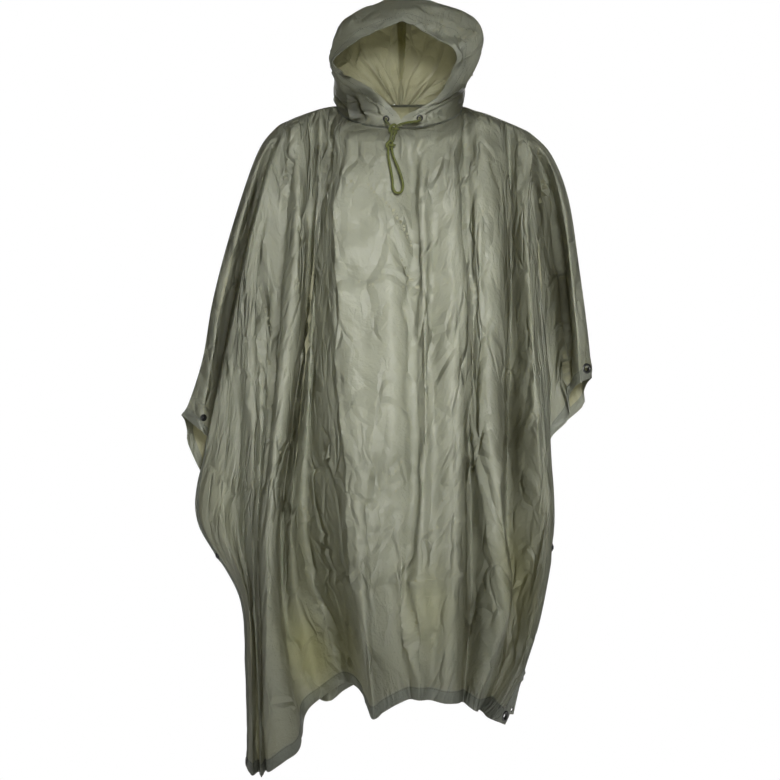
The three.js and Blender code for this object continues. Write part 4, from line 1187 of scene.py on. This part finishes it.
class Fitting:
    """Where a turned CAD piece sits: the middle of its seat and its axis, mm, read from its node."""

    def __init__(self, node, sheet):
        ob = bpy.data.objects[node]
        points = np.array([ob.matrix_world @ v.co for v in ob.data.vertices]) / MM
        middle = points.mean(0)
        _, axes = np.linalg.eigh(np.cov((points - middle).T))
        axis = axes[:, 0]
        flat_points = sheet.points.reshape(-1, 3)
        nearest = np.linalg.norm(flat_points - middle, axis=1).argmin()
        if np.dot(axis, sheet.normals.reshape(-1, 3)[nearest]) < 0:
            axis = -axis
        along_axis = (points - middle) @ axis
        radius = np.linalg.norm(points - middle - along_axis[:, None] * axis, axis=1)
        self.node = node
        self.axis = axis
        self.radius = radius.max()
        self.seat = middle + axis * along_axis[radius > self.radius - 0.3].min()
        self.sheet = sheet
        gap = flat_points - self.seat
        self.away = np.linalg.norm(gap, axis=1).reshape(sheet.points.shape[:2])


def seat_cloth(fitting):
    """Lays the cloth flat under a fitting."""
    sheet = fitting.sheet
    gap = sheet.points - fitting.seat
    rise = gap @ fitting.axis
    flat_radius = np.linalg.norm(gap - rise[..., None] * fitting.axis, axis=-1)
    near = eased(rising(fitting.radius * 2 + 4 - flat_radius, fitting.radius + 3))
    near = near * (np.abs(rise) < 14) * (fitting.away < fitting.radius * 3)
    target = -0.1 - rise
    sheet.points = sheet.points + near[..., None] * target[..., None] * fitting.axis


def cut_hole(keep, fitting, radius):
    """Takes the quads over a fitting's hole out of the sheet, and draws the rim out into a circle."""
    sheet = fitting.sheet
    p = sheet.points
    middles = (p[:-1, :-1] + p[1:, :-1] + p[:-1, 1:] + p[1:, 1:]) / 4

    def spread(points):
        gap = points - fitting.seat
        rise = gap @ fitting.axis
        across = gap - rise[..., None] * fitting.axis
        return across, np.linalg.norm(across, axis=-1), np.abs(rise) < 10

    _, away, level = spread(middles)
    keep &= ~((away < radius * 0.88) & level)
    across, away, level = spread(p)
    inside = (away < radius) & level
    push = across / np.maximum(away, 0.5)[..., None] * (radius - away)[..., None]
    sheet.points = p + push * inside[..., None]


# The turned pieces by the sheet that holds them, and the radius cut out of the cloth, mm
EYELETS = {
    "eyelet_corner_r": front, "eyelet_corner_l": front, "eyelet_arm_r": front,
    "eyelet_back_corner_l": back, "eyelet_back_corner_r": back,
}
SNAPS = {
    "snap_arm_l": front, "snap_side_l": front, "snap_side_r": front,
    "snap_back_l": back, "snap_back_r": back,
}
THROATS = {"eyelet_throat_l": hood_left, "eyelet_throat_r": hood_right}
EYELET_CUT = 6.8
THROAT_CUT = 3.7
HOOD_PRESS = 1.5
fittings = {n: Fitting(n, sheet) for group in (EYELETS, SNAPS, THROATS) for n, sheet in group.items()}

crease_sheet(front, FRONT_CREASES, photo_ray, seed=11, amount=1.0, count=260, crushed=CRUSHED)
crease_sheet(back, BACK_CREASES, from_behind, seed=37, amount=1.1, count=300)
crease_sheet(hood_left, HOOD_CREASES_LEFT, photo_ray, seed=53, amount=1.2, count=110, more=HOOD_PRESS)
crease_sheet(hood_right, HOOD_CREASES_RIGHT, photo_ray, seed=71, amount=1.2, count=110, more=HOOD_PRESS)

for fitting in fittings.values():
    seat_cloth(fitting)
for sheet in (front, back, hood_left, hood_right):
    sheet.measure()

keeps = {}
for key, sheet in (("front", front), ("back", back), ("left", hood_left), ("right", hood_right)):
    keep = np.ones((sheet.points.shape[0] - 1, sheet.points.shape[1] - 1), bool)
    for node, fitting in fittings.items():
        if fitting.sheet is sheet and node in EYELETS:
            cut_hole(keep, fitting, EYELET_CUT)
        if fitting.sheet is sheet and node in THROATS:
            cut_hole(keep, fitting, THROAT_CUT)
    keeps[key] = keep


# Cloth pieces
def dress(piece, slot, *nodes):
    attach(piece, "root")
    if nodes:
        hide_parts(*nodes)
    return piece


def band(name, sheet, key, rows, columns, node):
    """A hem or casing: the turned-in layer under part of a sheet."""
    piece = part_of(sheet, rows, columns)
    keep = keeps[key][rows[0] : rows[1], columns[0] : columns[1]]
    ob = shell(name, piece, HEM_THICK, (HEM_CLOTH, HEM_CLOTH), keep, CLOTH + 0.15)
    return dress(ob, "hem", node)


def hem_zone(sheet):
    """The quads of a panel that have a turned-in layer behind them."""
    zone = np.zeros((sheet.points.shape[0] - 1, sheet.points.shape[1] - 1), bool)
    zone[-HEM_ROWS:] = True
    zone[:, :HEM_COLUMNS] = True
    zone[:, -HEM_COLUMNS:] = True
    return zone


hems = {}
stitch_lines = []
for key, sheet in (("front", front), ("back", back)):
    cloth = shell(key + "_cloth", sheet, CLOTH, (OUTER, INNER, HEM_CLOTH), keeps[key], zone=hem_zone(sheet))
    dress(cloth, "shell", key + "_panel")
for key, sheet in (("left", hood_left), ("right", hood_right)):
    cloth = shell("hood_cloth_" + key[0], sheet, CLOTH, (OUTER, INNER), keeps[key])
    dress(cloth, "shell", "hood_" + key[0])

for key, sheet in (("front", front), ("back", back)):
    last_row, last = sheet.points.shape[0] - 1, sheet.points.shape[1] - 1
    top_row = last_row - HEM_ROWS
    inner = (HEM_COLUMNS, last - HEM_COLUMNS)
    hems[key] = [band("hem_cloth_" + key, sheet, key, (top_row, last_row), inner, "hem_" + key)]
    stitch_lines.append((key, sheet, [(top_row + 0.2, c) for c in np.arange(3, last - 2.9, 0.1)]))
    for side, columns, at in (("l", (0, inner[0]), 3.7), ("r", (inner[1], last), last - 3.7)):
        node = "side_hem_" + key + "_" + side
        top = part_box(node)[1][2] / MM
        first = int(np.argmax(sheet.points[:, columns[0], 2] < top))
        name = "side_hem_cloth_" + key + "_" + side
        hems[key].append(band(name, sheet, key, (first, last_row), columns, node))
        stitch_lines.append((key, sheet, [(r, at) for r in np.arange(6, last_row - 2, 0.1)]))
for key, sheet in (("left", hood_left), ("right", hood_right)):
    last = sheet.points.shape[1] - 1
    columns = (CASING_START, last)
    name = "casing_cloth_" + key[0]
    hems[key] = [band(name, sheet, key, (0, CASING_ROWS), columns, "casing_" + key[0])]
    stitch_lines.append((key, sheet, [(CASING_ROWS - 0.4, c) for c in np.arange(CASING_START, last, 0.1)]))


def between(sheet, row, column):
    """Point and normal of a sheet at a place between its grid's rows and columns."""
    j, i = min(int(row), len(sheet.points) - 2), min(int(column), sheet.points.shape[1] - 2)
    fr, fc = row - j, column - i
    out = []
    for grid in (sheet.points, sheet.normals):
        top = grid[j, i] * (1 - fc) + grid[j, i + 1] * fc
        low = grid[j + 1, i] * (1 - fc) + grid[j + 1, i + 1] * fc
        out.append(top * (1 - fr) + low * fr)
    return out


def stitches(name, sheet, places):
    """A row of short stitches lying on a sheet: low three-sided bars, end to end with gaps."""
    line = [between(sheet, *p) for p in places]
    points = np.array([p for p, _ in line])
    normals = np.array([n for _, n in line])
    run = run_along(points)
    vertices, faces = [], []
    for s in np.arange(1.0, run[-1] - STITCH["pitch"], STITCH["pitch"]):
        ends = [s, s + STITCH["long"]]
        p = [np.array([np.interp(e, run, points[:, k]) for k in range(3)]) for e in ends]
        n = np.array([np.interp(s, run, normals[:, k]) for k in range(3)])
        n /= np.linalg.norm(n)
        across = np.cross(n, p[1] - p[0])
        across /= max(np.linalg.norm(across), 1e-6)
        start = len(vertices)
        for share, lift in ((0.0, 0.0), (0.3, 1.0), (0.7, 1.0), (1.0, 0.0)):
            end = p[0] * (1 - share) + p[1] * share
            for side, up in ((-1, 0), (0, 1), (1, 0)):
                high = (0.05 + up * STITCH["thick"]) * lift - 0.1 * (1 - up)
                vertices.append(end + across * side * STITCH["thick"] * 0.6 + n * high)
        for k in range(3):
            a = start + k * 3
            faces += [(a, a + 1, a + 4, a + 3), (a + 1, a + 2, a + 5, a + 4), (a + 2, a, a + 3, a + 5)]
        faces += [(start, start + 2, start + 1), (start + 9, start + 10, start + 11)]
    return dress(mesh_object(name, vertices, faces, materials=(THREAD,), sharp=60), "hem")


for count, (key, sheet, places) in enumerate(stitch_lines):
    hems[key].append(stitches("stitches_%s_%d" % (key, count), sheet, places))

# Tape over the centre seam, inside the hood: the hood's rows that it runs over, its gap and thickness, mm
TAPE_ROWS = (13, 78)
TAPE_GAP = 0.4
TAPE_THICK = 0.6
seam_points = []
for j in range(*TAPE_ROWS):
    row = []
    for sheet, steps in ((hood_left, (1.6, 0.8, 0.0)), (hood_right, (0.8, 1.6))):
        for step in steps:
            p, n = between(sheet, j, sheet.points.shape[1] - 1 - step)
            row.append(p - n * (CLOTH + TAPE_GAP))
    seam_points.append(row)
seam = Sheet(np.array(seam_points), -1)
seam.lay_flat()
tape = dress(shell("hood_tape", seam, TAPE_THICK, (TAPE, TAPE)), "tape", "hood_seam_tape")
hems["left"].append(tape)


# Neck seam: the turned-in edges of hood and panels as one soft roll along the ring
NECK_ROLL = {"radius": 2.2, "rise": 0.9, "points": 240, "sides": 10}
neck_path = []
for k in range(NECK_ROLL["points"]):
    neck_path.append(ring_point(360 * k / NECK_ROLL["points"]) + np.array([0, 0, NECK_ROLL["rise"]]))
neck_roll = tube("neck_seam", neck_path, NECK_ROLL["radius"], NECK_ROLL["sides"], (HEM_CLOTH,), closed=True)
hems["left"].append(dress(neck_roll, "hem"))


# Turned metal pieces
def turned(name, fitting, profile, material, slot, segments=40):
    """A ring turned about a fitting's axis from a closed profile of radius and height, mm."""
    side = np.cross(fitting.axis, (0.2, 0.3, 1.0))
    side /= np.linalg.norm(side)
    other = np.cross(fitting.axis, side)
    vertices = []
    for r, h in profile:
        for k in range(segments):
            a = 2 * math.pi * k / segments
            vertices.append(fitting.seat + fitting.axis * h + r * (math.cos(a) * side + math.sin(a) * other))
    faces = ring_faces(len(profile), segments)
    ob = mesh_object(name, vertices, faces, materials=(material,), sharp=35)
    return dress(ob, slot, fitting.node)


def round_profile(hole, barrel, flange, deep, high):
    """A grommet's section: a barrel through the cloth and a rolled flange over it."""
    points = [(hole, -deep), (barrel, -deep), (barrel, 0.0), (flange, 0.0)]
    for k in range(1, 8):
        a = math.pi * k / 8
        middle = (hole + flange) / 2
        points.append((middle + (flange - middle) * math.cos(a), high * math.sin(a) + 0.05))
    points.append((hole, 0.0))
    return points


EYELET_PROFILE = round_profile(hole=5.0, barrel=6.0, flange=9.5, deep=5.0, high=1.3)
THROAT_PROFILE = round_profile(hole=2.8, barrel=3.4, flange=6.0, deep=2.2, high=1.0)
for node in EYELETS:
    turned(node + "_metal", fittings[node], EYELET_PROFILE, METAL, "metal")
for node in THROATS:
    turned(node + "_metal", fittings[node], THROAT_PROFILE, METAL, "metal", segments=28)
SNAP_PROFILE = [
    (0.01, 0.0), (6.2, 0.0), (6.4, 0.5), (6.2, 1.2), (5.2, 1.6),
    (4.4, 1.5), (3.9, 1.9), (3.4, 2.6), (2.4, 2.9), (0.01, 3.0),
]
for node in SNAPS:
    turned(node + "_stud", fittings[node], SNAP_PROFILE, ENAMEL, "snap", segments=32)

# Drawstring: out of one throat eyelet, through both knots, round the loop and back, mm
exits = [fittings[n].seat + fittings[n].axis * 1.4 for n in ("eyelet_throat_l", "eyelet_throat_r")]
CORD_ROUTE = [
    (-30.5, -107, -28), (-24, -120, -37), (-19.8, -131, -46), (-21.5, -142, -60), (-25.6, -158, -77),
    (-26, -164, -97), (-22, -168, -120), (-19, -172, -140), (-18.4, -174, -151), (-14.2, -175.5, -160),
    (-5.4, -175.5, -160), (-1.2, -174, -151), (-3, -172, -137), (-9, -168, -118), (-17.5, -164, -97),
    (-20.2, -158, -77), (-16, -142, -60), (-14.4, -131, -46), (-8, -121, -37), (4, -115, -32),
    (19, -113, -30), (28, -108, -27),
]


def even(points, step):
    """A row of points at even steps along a path."""
    run = run_along(points)
    wanted = np.linspace(0, run[-1], int(run[-1] / step) + 1)
    return np.stack([np.interp(wanted, run, points[:, k]) for k in range(3)], axis=1)


route = np.array([exits[0]] + list(CORD_ROUTE) + [exits[1]], float)
cord_path = even(along(route, np.linspace(0, len(route) - 1, 600)), 1.0)
for _ in range(6):
    cord_path = smoothed(cord_path)
cord_path = even(cord_path, 1.2)
drawcord = dress(tube("drawcord", cord_path, CORD_RADIUS, sides=14, materials=(BRAID,)), "cord", "drawstring")

# Knots: name, node, middle, axis, wide, thick, tall, mm
KNOTS = [
    ("knot_upper_tied", "knot_upper", (-17.1, -131, -46), (0, -0.6, -0.8), 6.4, 2.4, 4.6),
    ("knot_lower_tied", "knot_lower", (-22.9, -158, -77), (0, -0.5, -0.87), 5.6, 2.0, 4.4),
]
for name, node, middle, axis, wide, thick, tall in KNOTS:
    axis = np.array(axis) / np.linalg.norm(axis)
    side = np.array([1.0, 0, 0])
    other = np.cross(axis, side)
    path = []
    for t in np.linspace(0, 2 * math.pi, 120, endpoint=False):
        r = wide + thick * math.cos(3 * t)
        path.append(np.array(middle) + r * math.cos(2 * t) * side + r * math.sin(2 * t) * other
                    + tall * math.sin(3 * t) * axis)
    tied = tube(name, path, CORD_RADIUS, sides=12, materials=(BRAID,), closed=True)
    dress(tied, "cord", node)

# Light and floor
world = bpy.data.worlds.new("world")
scene.world = world
world.use_nodes = True
background = world.node_tree.nodes["Background"]
background.inputs["Color"].default_value = (1, 1, 1, 1)
light_path = world.node_tree.nodes.new("ShaderNodeLightPath")
brightness = remap(world.node_tree, light_path.outputs["Is Camera Ray"], 0.06, 1.0)
world.node_tree.links.new(brightness, background.inputs["Strength"])
scene.view_settings.view_transform = "Standard"


def area_light(name, place, target, size, power, spread=180):
    light = bpy.data.lights.new(name, "AREA")
    light.size = size
    light.energy = power
    light.spread = math.radians(spread)
    ob = bpy.data.objects.new(name, light)
    ob.location = place
    ob.rotation_euler = (Vector(target) - Vector(place)).to_track_quat("-Z", "Y").to_euler()
    scene.collection.objects.link(ob)


area_light("key", place=(0.3, -3.15, 0.1), target=(0.0, 0, -0.38), size=0.5, power=4.2, spread=31)
area_light("fill", place=(-1.8, -2.6, 0.2), target=(0, 0, -0.5), size=1.0, power=5)
area_light("behind", place=(0, 2.7, -0.2), target=(0, 0, -0.4), size=2.0, power=66)

FLOOR_Z = -1.45
floor_mesh = bpy.data.meshes.new("floor")
corners = [(-3, -3, FLOOR_Z), (3, -3, FLOOR_Z), (3, 1, FLOOR_Z), (-3, 1, FLOOR_Z)]
floor_mesh.from_pydata(corners, [], [(0, 1, 2, 3)])
floor = bpy.data.objects.new("floor", floor_mesh)
scene.collection.objects.link(floor)
floor_material, floor_tree = nodes_of("pale_floor")
glow = {"Emission Color": (1, 1, 1, 1), "Emission Strength": 0.4}
end_with(floor_tree, surface(floor_tree, (0.9, 0.9, 0.9, 1), 0.8, **glow))
floor_mesh.materials.append(floor_material)
